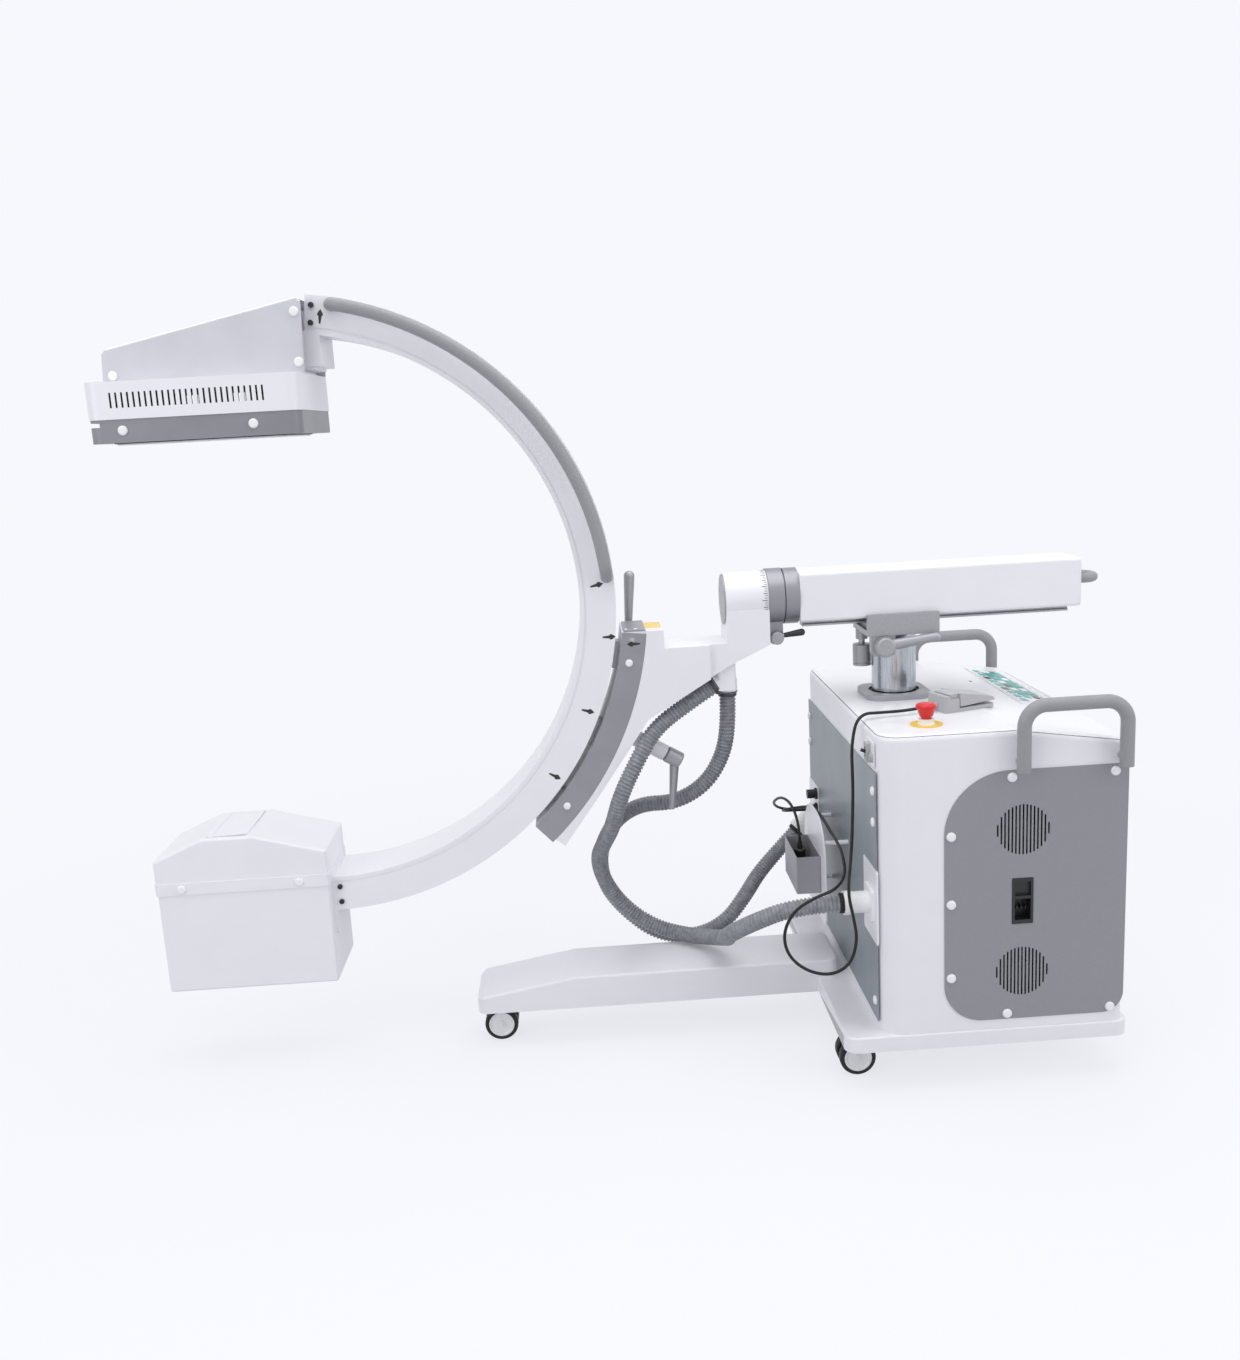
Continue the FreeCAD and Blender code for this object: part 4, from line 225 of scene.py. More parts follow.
def vinyl_grip(name, dark, light):
    """Extruded vinyl sleeve over steel tube: matte, with a fine leathery skin."""
    material, tree, shader, place = start_material(name, {"Roughness": 0.48, "Sheen Weight": 0.1})
    skin = add(tree, "ShaderNodeTexVoronoi", {"Scale": 1000.0 / 1.6}, {"Vector": place})
    tree.links.new(tint(tree, skin.outputs["Distance"], dark, light, 0.1, 0.8), shader.inputs["Base Color"])
    relief(tree, shader, skin.outputs["Distance"], 0.05, 0.25)
    return material


def printed_film(name, dark, light):
    """Printed polycarbonate film: smooth and slightly glossy."""
    material, tree, shader, place = start_material(name, {"Roughness": 0.28, "IOR": 1.58})
    wash = grain(tree, place, 18.0)
    tree.links.new(tint(tree, wash.outputs["Fac"], dark, light), shader.inputs["Base Color"])
    fine = grain(tree, place, 0.6)
    relief(tree, shader, fine.outputs["Fac"], 0.02, 0.2)
    return material


def filter_mat(name):
    """Pleated dust filter behind the grilles: dark fibres in folds 6 mm apart. The same material is painted
    shade inside the detector's band.
    """
    material, tree, shader, place = start_material(name, {"Roughness": 0.9})
    pleat = add(tree, "ShaderNodeTexWave", {"Scale": 1000.0 / 6.0 / math.tau, "Distortion": 1.0},
                {"Vector": place})
    tree.links.new(tint(tree, pleat.outputs["Fac"], "1B1C1F", "34363A"), shader.inputs["Base Color"])
    relief(tree, shader, pleat.outputs["Fac"], 0.6, 0.6)
    return material


def clear_acrylic(name):
    """Clear acrylic plate: smooth, a little blue where it is thick."""
    material, tree, shader, place = start_material(
        name, {"Base Color": linear("DFE6EE"), "Roughness": 0.08, "IOR": 1.49, "Transmission Weight": 0.35})
    wave = grain(tree, place, 40.0)
    relief(tree, shader, wave.outputs["Fac"], 0.02, 0.15)
    return material


WHITE = powder_coated_steel("white_powder_coated_steel", "EDEDF1", "EFEFF3")
# The detector hood's sides: the same white paint, darkened as painted shade; the hood's top keeps the plain
# white
HOOD_SIDE_SHADE = powder_coated_steel("white_powder_coat_painted_shade", "CCCDD3", "D1D2D8")
SIDE_GREY = textured_powder_coat("grey_textured_powder_coat", "8E8E94", "98989E")
FRONT_GREY = powder_coated_steel("grey_powder_coated_steel", "858D93", "8C949A", 0.42, 0.05)
ARC_GREY = powder_coated_steel("grey_powder_coated_cover", "929198", "98979E", 0.42, 0.05)
RIM_GREY = powder_coated_steel("grey_powder_coated_rim", "86868C", "8E8E94", 0.4, 0.05)
FLANGE_GREY = powder_coated_steel("pale_grey_powder_coat", "9A9BA0", "A1A2A7", 0.4, 0.1)
CASTING = grey_aluminium("lacquered_cast_aluminium", "A1A2A6", "A9AAAE", 3.0, 0.08, 0.45)
MACHINED = grey_aluminium("machined_aluminium", "919297", "97989C", 0.8, 0.02, 0.6)
COLUMN_STEEL = brushed_steel("polished_stainless_steel", "C9CDD2", 1.2, 0.22)
ZINC_STEEL = brushed_steel("zinc_plated_steel", "B8BABD", 0.9, 0.34)
GRIP = vinyl_grip("grey_vinyl_grip", "8F8F93", "9B9B9F")
BLACK_ABS = moulded_plastic("black_moulded_abs", "131315", "1B1B1E")
GREY_ABS = moulded_plastic("grey_moulded_abs", "AEAEB1", "B8B8BB")
WHITE_NYLON = moulded_plastic("white_moulded_nylon", "F0F0F2", "F7F7F9", 0.34)
RED_ABS = moulded_plastic("red_moulded_abs", "CE1420", "DC1A26", 0.3)
YELLOW_FILM = printed_film("yellow_printed_film", "EDC52E", "F3CD38")
TEAL_FILM = printed_film("teal_printed_film", "2A9894", "38A6A1")
PALE_FILM = printed_film("pale_grey_printed_film", "E2E5E8", "EAEDF0")
DARK_FILM = printed_film("black_printed_film", "101114", "18191C")
TYRE = rubber("black_polyurethane_tyre", "141416", "232326", 0.5)
HOSE = rubber("grey_corrugated_pvc", "808388", "96999E", 0.36)
CLAMP_GREY = rubber("dark_grey_hose_clamp", "45474B", "505256", 0.4)
CABLE = rubber("black_pvc_sheath", "0E0E10", "1A1A1C", 0.4)
SEAL = rubber("black_nitrile_seal", "101012", "1C1C1E", 0.55)
# Real filter mats in the cabinet, and painted shade on the detector band's inner faces and vent slot sides
FILTER_AND_SHADE = filter_mat("dark_filter_mat_and_painted_shade")
CLEAR = clear_acrylic("clear_acrylic_plate")


# Where one finish ends and the next starts on a CAD piece, in metres.
# Names that end in X, Y or Z are places in the frame, and the others are distances from a piece's own edges.

PLATED_LOW, PLATED_HIGH = 78 * MM, 118.5 * MM
CASTER_PLATE_FRONT, CASTER_PLATE_REAR, CASTER_PLATE_SIDE = 20 * MM, 35 * MM, 38 * MM
FORK_STEM_Z = 90 * MM
TREAD_DEPTH = 7.8 * MM
FRONT_SCREWS_X = COLUMN_X - 126.6 * MM
LINK_SCREWS_STEP = 3.5 * MM
BREAKER_FRAME_X = COLUMN_X - 126.5 * MM
POCKET_X = COLUMN_X - 183.4 * MM
STOP_PLATE_T = 1.8 * MM
WIPER_SEAL_R = 54.5 * MM
FAN_SIDE_Y, FILTER_SIDE_Y = -330 * MM, 345 * MM
COLUMN_TOP_Z = 883.5 * MM
SADDLE_SHOE_HALF, SADDLE_SHOE_Z = 34 * MM, 896 * MM
INDEX_PIN_Z = 853 * MM
ARM_HANDLE_L = 53.5 * MM
SLIDE_RAIL_HALF, SLIDE_RAIL_Z = 17.2 * MM, 921.2 * MM
CLAMP_TIP_X = COLUMN_X - 246 * MM
COVER_CASTING_X = COLUMN_X - 435 * MM
COVER_SCREWS_Y = 70.3 * MM
HOOD_STEP = 72.5 * MM
BAND_FLOOR, BAND_CEILING = 1.0 * MM, 70.5 * MM
SLOT_DEPTH, SLOT_MARGIN = 4 * MM, 45 * MM
WINDOW_Z = 1376.5 * MM
WINDOW_LEFT, WINDOW_RIGHT, WINDOW_SIDE = 33 * MM, 25 * MM, 132 * MM
SOURCE_TANK_DEPTH, SOURCE_FRAME_DEPTH = 6 * MM, 1.6 * MM
C_END_HALF = 75.5 * MM

CASTERS = range(1, 6)
CASTER_BOXES = [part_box("caster_fork_%d" % i) for i in CASTERS]
KEYPAD_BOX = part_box("control_panel")
ARM_HANDLE_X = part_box("arm_beam")[1].x - ARM_HANDLE_L
RIM_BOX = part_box("detector_rim")
DETECTOR_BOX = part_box("detector_housing")
SOURCE_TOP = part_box("xray_source")[1].z

# The cabinet's sloping lid, and the keypad on it
LID_TOP_Z = 742
LID_SLOPE_X = 140
LID_SLOPE = math.atan2(34, 225)
KEY_FILM_T = 0.15 * MM
KEY_MARGIN = 20 * MM
KEY_PITCH = 40 * MM

# Keys row by row from the front edge, each row from the far end: 0 pale, 1 teal, 2 white, 3 black
KEY_COLOURS = ((1, 1, 3, 1, 1, 3, 1, 1, 1), (2, 1, 1, 2, 3, 2, 1, 1, 2), (1, 1, 2, 1, 1, 2, 1, 3, 1),
               (2, 2, 2, 2, 2, 2, 2, 2, 2))


# Painting the CAD pieces, each face by its middle and its normal

def paint(node, materials, choose=None):
    """Gives a CAD node its materials; choose picks one for a face from its middle and its normal."""
    mesh = NODES[node].data
    mesh.materials.clear()
    for material in materials:
        mesh.materials.append(material)
    for face in mesh.polygons:
        face.material_index = int(choose(face.center, face.normal)) if choose else 0


def paint_base():
    """Chassis, cabinet and what is fixed to them."""
    for node in ("front_leg", "cabinet_housing"):
        paint(node, [WHITE])
    paint("chassis_frame", [WHITE, ZINC_STEEL], on_caster_plate)
    paint("side_panels", [SIDE_GREY])
    paint("front_panel", [FRONT_GREY, WHITE_NYLON], lambda c, n: c.x < FRONT_SCREWS_X)
    link_screws_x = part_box("connection_plates")[1].x - LINK_SCREWS_STEP
    paint("connection_plates", [WHITE, WHITE_NYLON], lambda c, n: c.x < link_screws_x)
    paint("cable_sockets", [BLACK_ABS])
    paint("breaker_plate", [WHITE_NYLON, GREY_ABS], lambda c, n: c.x < BREAKER_FRAME_X)
    paint("breaker_toggle", [BLACK_ABS])
    paint("start_button", [GREY_ABS])
    paint("cable_hanger", [WHITE, ARC_GREY], lambda c, n: c.x < POCKET_X)
    paint("hand_switch", [BLACK_ABS])
    collar_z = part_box("stop_base")[0].z + STOP_PLATE_T
    paint("stop_base", [YELLOW_FILM, WHITE_NYLON], lambda c, n: c.z > collar_z)
    paint("stop_button", [RED_ABS])
    paint("pedal_base", [GREY_ABS])
    paint("pedal_treadle", [GREY_ABS])
    paint("control_panel", [PALE_FILM, TEAL_FILM, WHITE_NYLON, DARK_FILM], keypad_colour)
    paint("push_handles", [GRIP])
    paint("cabinet_screws", [WHITE_NYLON])
    paint("cabinet_internals", [BLACK_ABS, ZINC_STEEL, FILTER_AND_SHADE], inside_colour)
    paint("column_flange", [FLANGE_GREY, SEAL],
          lambda c, n: math.hypot(c.x - COLUMN_X, c.y) < WIPER_SEAL_R)
    paint("lift_guide", [ZINC_STEEL])
    for fan in ("fan_rotor_upper", "fan_rotor_lower"):
        paint(fan, [BLACK_ABS])


def on_caster_plate(c, n):
    """True on the plated caster plates and stems under the tray."""
    if not PLATED_LOW < c.z < PLATED_HIGH:
        return False
    for lo, hi in CASTER_BOXES:
        along = lo.x - CASTER_PLATE_FRONT < c.x < hi.x + CASTER_PLATE_REAR
        if along and abs(c.y - (lo.y + hi.y) / 2) < CASTER_PLATE_SIDE:
            return True
    return False


def inside_colour(c, n):
    """Fan frames are black, the power unit and inverter are plated, and the filter mats are dark."""
    if c.y < FAN_SIDE_Y:
        return 0
    return 2 if c.y > FILTER_SIDE_Y else 1


def keypad_colour(c, n):
    """The pale film, and each key standing on it in its own colour."""
    lo, hi = KEYPAD_BOX
    film_z = hi.z - math.tan(LID_SLOPE) * (c.x - lo.x)
    if c.z - film_z < KEY_FILM_T:
        return 0
    across = min(3, int((c.x - lo.x) / (hi.x - lo.x) * 4))
    along = min(8, max(0, int((c.y - lo.y - KEY_MARGIN) / KEY_PITCH)))
    return KEY_COLOURS[across][8 - along]


def paint_moving():
    """Column, arm, carriage, C and casters."""
    for node in ("hose_bracket", "rotation_drum", "carriage_body", "c_profile", "mount_brackets",
                 "tube_housing"):
        paint(node, [WHITE])
    paint("column_inner", [COLUMN_STEEL, MACHINED], lambda c, n: c.z > COLUMN_TOP_Z)
    paint("saddle", [CASTING, MACHINED], lambda c, n: abs(c.y) < SADDLE_SHOE_HALF and c.z > SADDLE_SHOE_Z)
    paint("saddle_lock_lever", [CASTING])
    paint("index_knob", [CASTING, ZINC_STEEL], lambda c, n: c.z > INDEX_PIN_Z)
    paint("arm_beam", [WHITE, GRIP, ZINC_STEEL], arm_colour)
    paint("rotation_bearing", [MACHINED])
    paint("clamp_lever", [CASTING, BLACK_ABS], lambda c, n: c.x > CLAMP_TIP_X)
    paint("carriage_covers", [ARC_GREY, CASTING, WHITE_NYLON], cover_colour)
    paint("roller_bogies", [ZINC_STEEL])
    paint("orbital_lock_lever", [CASTING])
    paint("side_clamp_lever", [CASTING])
    paint("c_handles", [GRIP])
    # Painted shade: the dark filter material inside the band, and darker white on the hood's sides
    paint("detector_housing", [WHITE, FILTER_AND_SHADE, HOOD_SIDE_SHADE], detector_colour)
    paint("detector_rim", [RIM_GREY, DARK_FILM], on_window)
    paint("xray_source", [CLEAR, ZINC_STEEL, WHITE], source_colour)
    paint("head_screws", [WHITE_NYLON, DARK_FILM], lambda c, n: abs(c.y) < C_END_HALF)
    for i in CASTERS:
        paint_caster(i)


def paint_caster(i):
    """Black tyre round a white disc, in a black fork on a plated stem."""
    lo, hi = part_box("caster_wheel_%d" % i)
    hub_x, hub_z = (lo.x + hi.x) / 2, (lo.z + hi.z) / 2
    disc_r = (hi.z - lo.z) / 2 - TREAD_DEPTH
    paint("caster_wheel_%d" % i, [TYRE, WHITE_NYLON],
          lambda c, n: math.hypot(c.x - hub_x, c.z - hub_z) < disc_r)
    paint("caster_fork_%d" % i, [BLACK_ABS, ZINC_STEEL], lambda c, n: c.z > FORK_STEM_Z)


def arm_colour(c, n):
    """The beam is white, its end handle is gripped, and the slide rail under it is plated."""
    if c.x > ARM_HANDLE_X:
        return 1
    return 2 if c.z < SLIDE_RAIL_Z and abs(c.y) < SLIDE_RAIL_HALF else 0


def cover_colour(c, n):
    """Grey arc plates, white dome screws on them, and the cast block behind."""
    if c.x > COVER_CASTING_X:
        return 1
    return 2 if abs(c.y) > COVER_SCREWS_Y else 0


def detector_colour(c, n):
    """White band with painted shade inside it, under a hood whose sides are white darkened as painted shade
    and whose top is plain white.
    """
    # Painted shade: the band's inner faces and slot sides take the dark filter material
    if inside_band(c, n):
        return 1
    # Hood faces that are not its top: darker white as painted shade
    return 2 if c.z > DETECTOR_BOX[0].z + HOOD_STEP and n.z < 0.6 else 0


def inside_band(c, n):
    """True for the inner faces of the detector's lower band and for the sides of its vent slots, which take
    painted shade.
    """
    lo, hi = DETECTOR_BOX
    if not lo.z + BAND_FLOOR < c.z < lo.z + BAND_CEILING:
        return False
    if abs(n.z) > 0.5:
        return True
    among_slots = lo.x + SLOT_MARGIN < c.x < hi.x - SLOT_MARGIN
    if abs(n.x) > 0.99 and abs(c.y) > hi.y - SLOT_DEPTH and among_slots:
        return True
    return (c.x - (lo.x + hi.x) / 2) * n.x + c.y * n.y < 0


def on_window(c, n):
    """True on the detector's window, which faces down inside the rim."""
    lo, hi = RIM_BOX
    inset = lo.x + WINDOW_LEFT < c.x < hi.x - WINDOW_RIGHT and abs(c.y) < WINDOW_SIDE
    return c.z < WINDOW_Z and n.z < -0.9 and inset


def source_colour(c, n):
    """The beam window is clear in a white frame, and the tank below it is plated."""
    if c.z < SOURCE_TOP - SOURCE_TANK_DEPTH:
        return 1
    return 2 if c.z > SOURCE_TOP - SOURCE_FRAME_DEPTH else 0


# Pieces drawn on the frame

EDGE_SHARE = 0.3


def link(name, mesh, material, body, smooth=True):
    """Puts a finished mesh in the scene, in one material, riding on a body if one is given."""
    piece = bpy.data.objects.new(name, mesh)
    bpy.context.scene.collection.objects.link(piece)
    mesh.materials.clear()
    mesh.materials.append(material)
    if smooth:
        for face in mesh.polygons:
            face.use_smooth = True
    if body:
        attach(piece, body)
    return piece


def sharpen(piece, degrees):
    """Marks the edges that turn by more than some degrees as sharp, on a smooth piece."""
    mesh = piece.data
    bm = bmesh.new()
    bm.from_mesh(mesh)
    for edge in bm.edges:
        if len(edge.link_faces) == 2 and edge.calc_face_angle() > math.radians(degrees):
            edge.smooth = False
    bm.to_mesh(mesh)
    bm.free()


def outline_plate(name, outline, origin, across, along, thickness, material, body):
    """A thin plate with a flat outline in millimetres, its upper edge softened, standing on its origin."""
    out = across.cross(along).normalized()
    depth = thickness * MM
    bm = bmesh.new()
    base = [bm.verts.new(origin + across * (u * MM) + along * (v * MM)) for u, v in outline]
    face = bm.faces.new(base)
    grown = bmesh.ops.extrude_face_region(bm, geom=[face])
    top = [v for v in grown["geom"] if isinstance(v, bmesh.types.BMVert)]
    bmesh.ops.translate(bm, verts=top, vec=out * depth)
    bmesh.ops.recalc_face_normals(bm, faces=bm.faces)
    rim = [e for e in bm.edges if all(v in top for v in e.verts)]
    bmesh.ops.bevel(bm, geom=rim, offset=depth * EDGE_SHARE, segments=1, affect="EDGES")
    mesh = bpy.data.meshes.new(name)
    bm.to_mesh(mesh)
    bm.free()
    link(name, mesh, material, body, smooth=False)


def rounded_outline(width, height, radius, steps=5):
    """A rectangle with round corners, in as many steps each."""
    points = []
    for cx, cy, a0 in ((1, 1, 0), (-1, 1, 90), (-1, -1, 180), (1, -1, 270)):
        for i in range(steps + 1):
            a = math.radians(a0 + 90 * i / steps)
            points.append((cx * (width / 2 - radius) + radius * math.cos(a),
                           cy * (height / 2 - radius) + radius * math.sin(a)))
    return points


# Hoses and cables. Their control points are those of the solid cords.

HOSE_D = 36.0
CABLE_D = 6.5
RIB_PITCH = 8.0
RIB_DEPTH = 2.8
RIB_ROUNDING = 0.6
HOSE_SIDES = 24

# Sleeves as pairs of distance along the axis and radius
HOSE_CUFF = [(-9, 18.4), (-8, 20.4), (-1, 20.8), (0, 20.2), (0, 18.4)]
PORT_LIP = [(0.2, 18.6), (0.2, 22.0), (1.0, 22.6), (3.0, 22.9), (3.0, 18.6)]

HOSE_NEAR = [
    (-396, -26, 792), (-453, -29, 758), (-532, -51, 710), (-573, -77, 650), (-615, -83, 573),
    (-635, -55, 495), (-654, 0, 444), (-672, 65, 385), (-658, 103, 311), (-614, 114, 241),
    (-546, 100, 193), (-471, 66, 181), (-413, 8, 196), (-389, -66, 226), (-414, -179, 277),
    (-371, -258, 336), (-279, -293, 383), (-183, -293, 383),
]
HOSE_FAR = [
    (-364, 24, 764), (-364, 24, 697), (-377, 34, 618), (-420, 38, 550), (-489, 52, 509),
    (-566, 87, 501), (-628, 117, 455), (-667, 134, 376), (-659, 149, 287), (-607, 155, 212),
    (-540, 131, 164), (-455, 129, 149), (-375, 150, 170), (-318, 187, 224), (-282, 239, 252),
    (-228, 275, 294), (-172, 287, 346),
]
PEDAL_CABLE = [
    (24, -189, 754), (-22, -204, 752), (-76, -208, 752), (-132, -228, 757), (-152, -252, 700),
    (-154, -272, 625), (-160, -288, 548), (-168, -304, 478), (-180, -325, 417), (-170, -329, 365),
    (-163, -329, 318), (-176, -329, 268), (-214, -329, 245), (-262, -329, 255), (-302, -329, 290),
    (-313, -329, 338), (-292, -329, 386), (-246, -326, 412), (-200, -308, 418), (-170, -262, 430),
    (-163, -205, 452), (-161, -140, 459), (-165, -75, 466), (-161, -5, 463), (-165, 60, 467),
    (-170, 130, 456), (-226, 190, 430), (-206, 251.5, 407), (-151, 251.5, 407),
]
SWITCH_CABLE = [
    (-210, 37, 404), (-210, 37, 440), (-219, 78, 480), (-234, 134, 482), (-246, 190, 452),
    (-228, 246, 420), (-196, 260.5, 407), (-151, 260.5, 407),
]


def cord_curve(name, points):
    """One NURBS spline through a cord's control points, with no thickness yet."""
    curve = bpy.data.curves.new(name, "CURVE")
    curve.dimensions = "3D"
    curve.resolution_u = 24
    spline = curve.splines.new("NURBS")
    spline.points.add(len(points) - 1)
    for knot, p in zip(spline.points, points):
        knot.co = (*at(*p), 1.0)
    spline.order_u = 3
    spline.use_endpoint_u = True
    piece = bpy.data.objects.new(name, curve)
    bpy.context.scene.collection.objects.link(piece)
    return piece


def route_of(name, points):
    """Points read from the route's own spline, and the length walked at each."""
    guide = cord_curve(name, points)
    bpy.context.view_layer.update()
    mesh = bpy.data.meshes.new_from_object(guide)
    line = [v.co.copy() for v in mesh.vertices]
    bpy.data.meshes.remove(mesh)
    bpy.data.objects.remove(guide)
    run = [0.0]
    for a, b in zip(line, line[1:]):
        run.append(run[-1] + (b - a).length)
    return line, run


def spaced(line, run, step):
    """Points evenly spaced along a line, about a step apart."""
    count = int(round(run[-1] / step))
    points, k = [], 0
    for i in range(count + 1):
        walked = run[-1] * i / count
        while k < len(run) - 2 and run[k + 1] < walked:
            k += 1
        share = (walked - run[k]) / max(run[k + 1] - run[k], 1e-9)
        points.append(line[k].lerp(line[k + 1], min(max(share, 0.0), 1.0)))
    return points


def corrugated_hose(name, points):
    """A ribbed tube: six rings of points to each rib, turned smoothly along the route."""
    line, run = route_of(name + "_route", points)
    crest, groove = HOSE_D / 2, HOSE_D / 2 - RIB_DEPTH
    flank = crest - RIB_ROUNDING
    rib = (crest, crest, flank, groove, groove, flank)
    centre = spaced(line, run, RIB_PITCH * MM / len(rib))
    bm = bmesh.new()
    side = (centre[1] - centre[0]).orthogonal().normalized()
    rings = []
    for i, c in enumerate(centre):
        ahead = (centre[min(i + 1, len(centre) - 1)] - centre[max(i - 1, 0)]).normalized()
        side = (side - ahead * side.dot(ahead)).normalized()
        up = ahead.cross(side)
        radius = rib[i % len(rib)] * MM
        rings.append([bm.verts.new(c + (side * math.cos(a) + up * math.sin(a)) * radius)
                      for a in (2 * math.pi * k / HOSE_SIDES for k in range(HOSE_SIDES))])
    join_rings(bm, rings)
    bm.faces.new(reversed(rings[0]))
    bm.faces.new(rings[-1])
    mesh = bpy.data.meshes.new(name)
    bm.to_mesh(mesh)
    bm.free()
    hose = link(name, mesh, HOSE, None)
    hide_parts(name.replace("ribbed_", ""))
    return hose


def join_rings(bm, rings, closed=False):
    """Faces between each ring of points and the next, and from the last to the first if closed."""
    following = rings[1:] + rings[:1] if closed else rings[1:]
    for a, b in zip(rings, following):
        for k in range(len(a)):
            ahead = (k + 1) % len(a)
            bm.faces.new((a[k], a[ahead], b[ahead], b[k]))


def smooth_cable(name, node, points):
    """A round cable along its route, fixed to the cabinet at both ends."""
    length = route_of(name + "_route", points)[1][-1]
    cable = cord_curve(name, points)
    cable.data.bevel_depth = CABLE_D / 2 * MM
    cable.data.bevel_resolution = 4
    cable.data.use_fill_caps = True
    cable.data.materials.append(CABLE)
    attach(cable, "root")
    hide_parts(node)


def turned_sleeve(name, start, direction, profile, material, body, sides=32):
    """A sleeve turned about an axis, from pairs of distance along it and radius in millimetres."""
    d = direction.normalized()
    u = d.orthogonal().normalized()
    w = d.cross(u)
    bm = bmesh.new()
    rings = []
    for along, radius in profile:
        middle = start + d * along * MM
        rings.append([bm.verts.new(middle + (u * math.cos(a) + w * math.sin(a)) * radius * MM)
                      for a in (2 * math.pi * k / sides for k in range(sides))])
    join_rings(bm, rings, closed=True)
    bmesh.ops.recalc_face_normals(bm, faces=bm.faces)
    mesh = bpy.data.meshes.new(name)
    bm.to_mesh(mesh)
    bm.free()
    sharpen(link(name, mesh, material, body), 40)


def make_hoses():
    """Both hoses, with a sleeve at each end and a dark lip where they leave the bracket under the neck."""
    routes = (("ribbed_hose_near", HOSE_NEAR), ("ribbed_hose_far", HOSE_FAR))
    for number, (name, points) in enumerate(routes, 1):
        hose = corrugated_hose(name, points)
        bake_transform(hose)
        socket, port = at(*points[-1]), at(*points[0])
        outward, inward = socket - at(*points[-2]), port - at(*points[1])
        turned_sleeve(name.replace("ribbed", "socket_cuff"), socket, outward, HOSE_CUFF, SEAL, "root")
        turned_sleeve(name.replace("ribbed", "port_cuff"), port, inward, HOSE_CUFF, CLAMP_GREY, "carriage")
        turned_sleeve("port_lip_%d" % number, port, inward, PORT_LIP, CLAMP_GREY, "carriage")


def make_cables():
    smooth_cable("pedal_lead", "pedal_cable", PEDAL_CABLE)
    smooth_cable("hand_switch_lead", "switch_cable", SWITCH_CABLE)


# Marks on the C and the carriage

ARROW = [(-14, -1.6), (1, -3.4), (2, -6.0), (6, -5.2), (14, 0), (6, 5.2), (2, 6.0), (1, 3.4), (-14, 1.6)]
ARROW_T = 0.25

# Radius from the C's centre, angle above level, and the way the arrow points, in degrees
ARROW_MARKS = ((604, 81.4, 81.4), (606, 3.0, 12.0), (630, -7.2, 0.0), (618, -22.4, -16.0),
               (618, -37.2, -30.0))
COVER_ARROW = (682, -8.2)
COVER_FACE_Y = -70 * MM

TAG_AT = (-524, 8, 925)
TAG_W, TAG_L, TAG_R, TAG_T = 36, 74, 3, 0.4

SCALE_MARKS = 72
SCALE_AXIS_Z = 973 * MM
SCALE_R = 57.05 * MM
SCALE_END_X = COLUMN_X - 280.3 * MM
SCALE_T = 0.15 * MM
FINE_MARK, FIFTEENTH_MARK, THIRTIETH_MARK = 6.0 * MM, 8.5 * MM, 11.0 * MM
FINE_HALF_W, BOLD_HALF_W = 0.5 * MM, 0.7 * MM


def c_centre():
    """The C's ends are above and below its centre, and its back is one radius away."""
    lo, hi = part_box("c_profile")
    radius = hi.x - lo.x
    return Vector((lo.x, 0, lo.z + radius))


def on_circle(centre, radius, degrees, y):
    """A point at a radius in millimetres and an angle above level, in the upright plane at y."""
    a = math.radians(degrees)
    point = centre + Vector((math.cos(a), 0, math.sin(a))) * radius * MM
    point.y = y
    return point


def make_arrows():
    """Printed arrows on the near face of the C, and one on the carriage cover that they are read against."""
    centre = c_centre()
    near_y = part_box("c_profile")[0].y
    for i, (radius, angle, heading) in enumerate(ARROW_MARKS, 1):
        h = math.radians(heading)
        across, along = Vector((math.cos(h), 0, math.sin(h))), Vector((-math.sin(h), 0, math.cos(h)))
        outline_plate("printed_arrow_%d" % i, ARROW, on_circle(centre, radius, angle, near_y), across, along,
                      ARROW_T, DARK_FILM, "c_arm")
    outline_plate("cover_arrow", ARROW, on_circle(centre, *COVER_ARROW, COVER_FACE_Y), Vector((-1, 0, 0)),
                  Vector((0, 0, -1)), ARROW_T, DARK_FILM, "carriage")


def make_tag():
    """Blank yellow tag on the carriage deck."""
    outline_plate("blank_yellow_tag", rounded_outline(TAG_W, TAG_L, TAG_R), at(*TAG_AT), Vector((1, 0, 0)),
                  Vector((0, 1, 0)), TAG_T, YELLOW_FILM, "carriage")


def make_scale():
    """Angle scale round the drum: a line each 5 degrees, bolder each 15 and longest each 30."""
    bm = bmesh.new()
    for i in range(SCALE_MARKS):
        length = THIRTIETH_MARK if i % 6 == 0 else FIFTEENTH_MARK if i % 3 == 0 else FINE_MARK
        half = (BOLD_HALF_W if i % 3 == 0 else FINE_HALF_W) / SCALE_R
        add_scale_line(bm, math.radians(360 / SCALE_MARKS * i), half, SCALE_END_X - length)
    bmesh.ops.recalc_face_normals(bm, faces=bm.faces)
    mesh = bpy.data.meshes.new("angle_scale")
    bm.to_mesh(mesh)
    bm.free()
    link("angle_scale", mesh, DARK_FILM, "carriage", smooth=False)


def add_scale_line(bm, angle, half, start_x):
    """One raised line of the scale, as wide as twice the half angle, ending at the drum's edge."""
    corners = []
    for r in (SCALE_R, SCALE_R + SCALE_T):
        for x, a in ((start_x, angle - half), (SCALE_END_X, angle - half), (SCALE_END_X, angle + half),
                     (start_x, angle + half)):
            corners.append(bm.verts.new((x, r * math.sin(a), SCALE_AXIS_Z + r * math.cos(a))))
    base, top = corners[:4], corners[4:]
    bm.faces.new(top)
    bm.faces.new(reversed(base))
    join_rings(bm, [base, top])


# Trim on the casters and the detector

SHOULDER_INSET = 0.8 * MM
SHOULDER_SIDES = 48
COVER_INSET_X, COVER_INSET_Y, COVER_R = 70, 30, 26


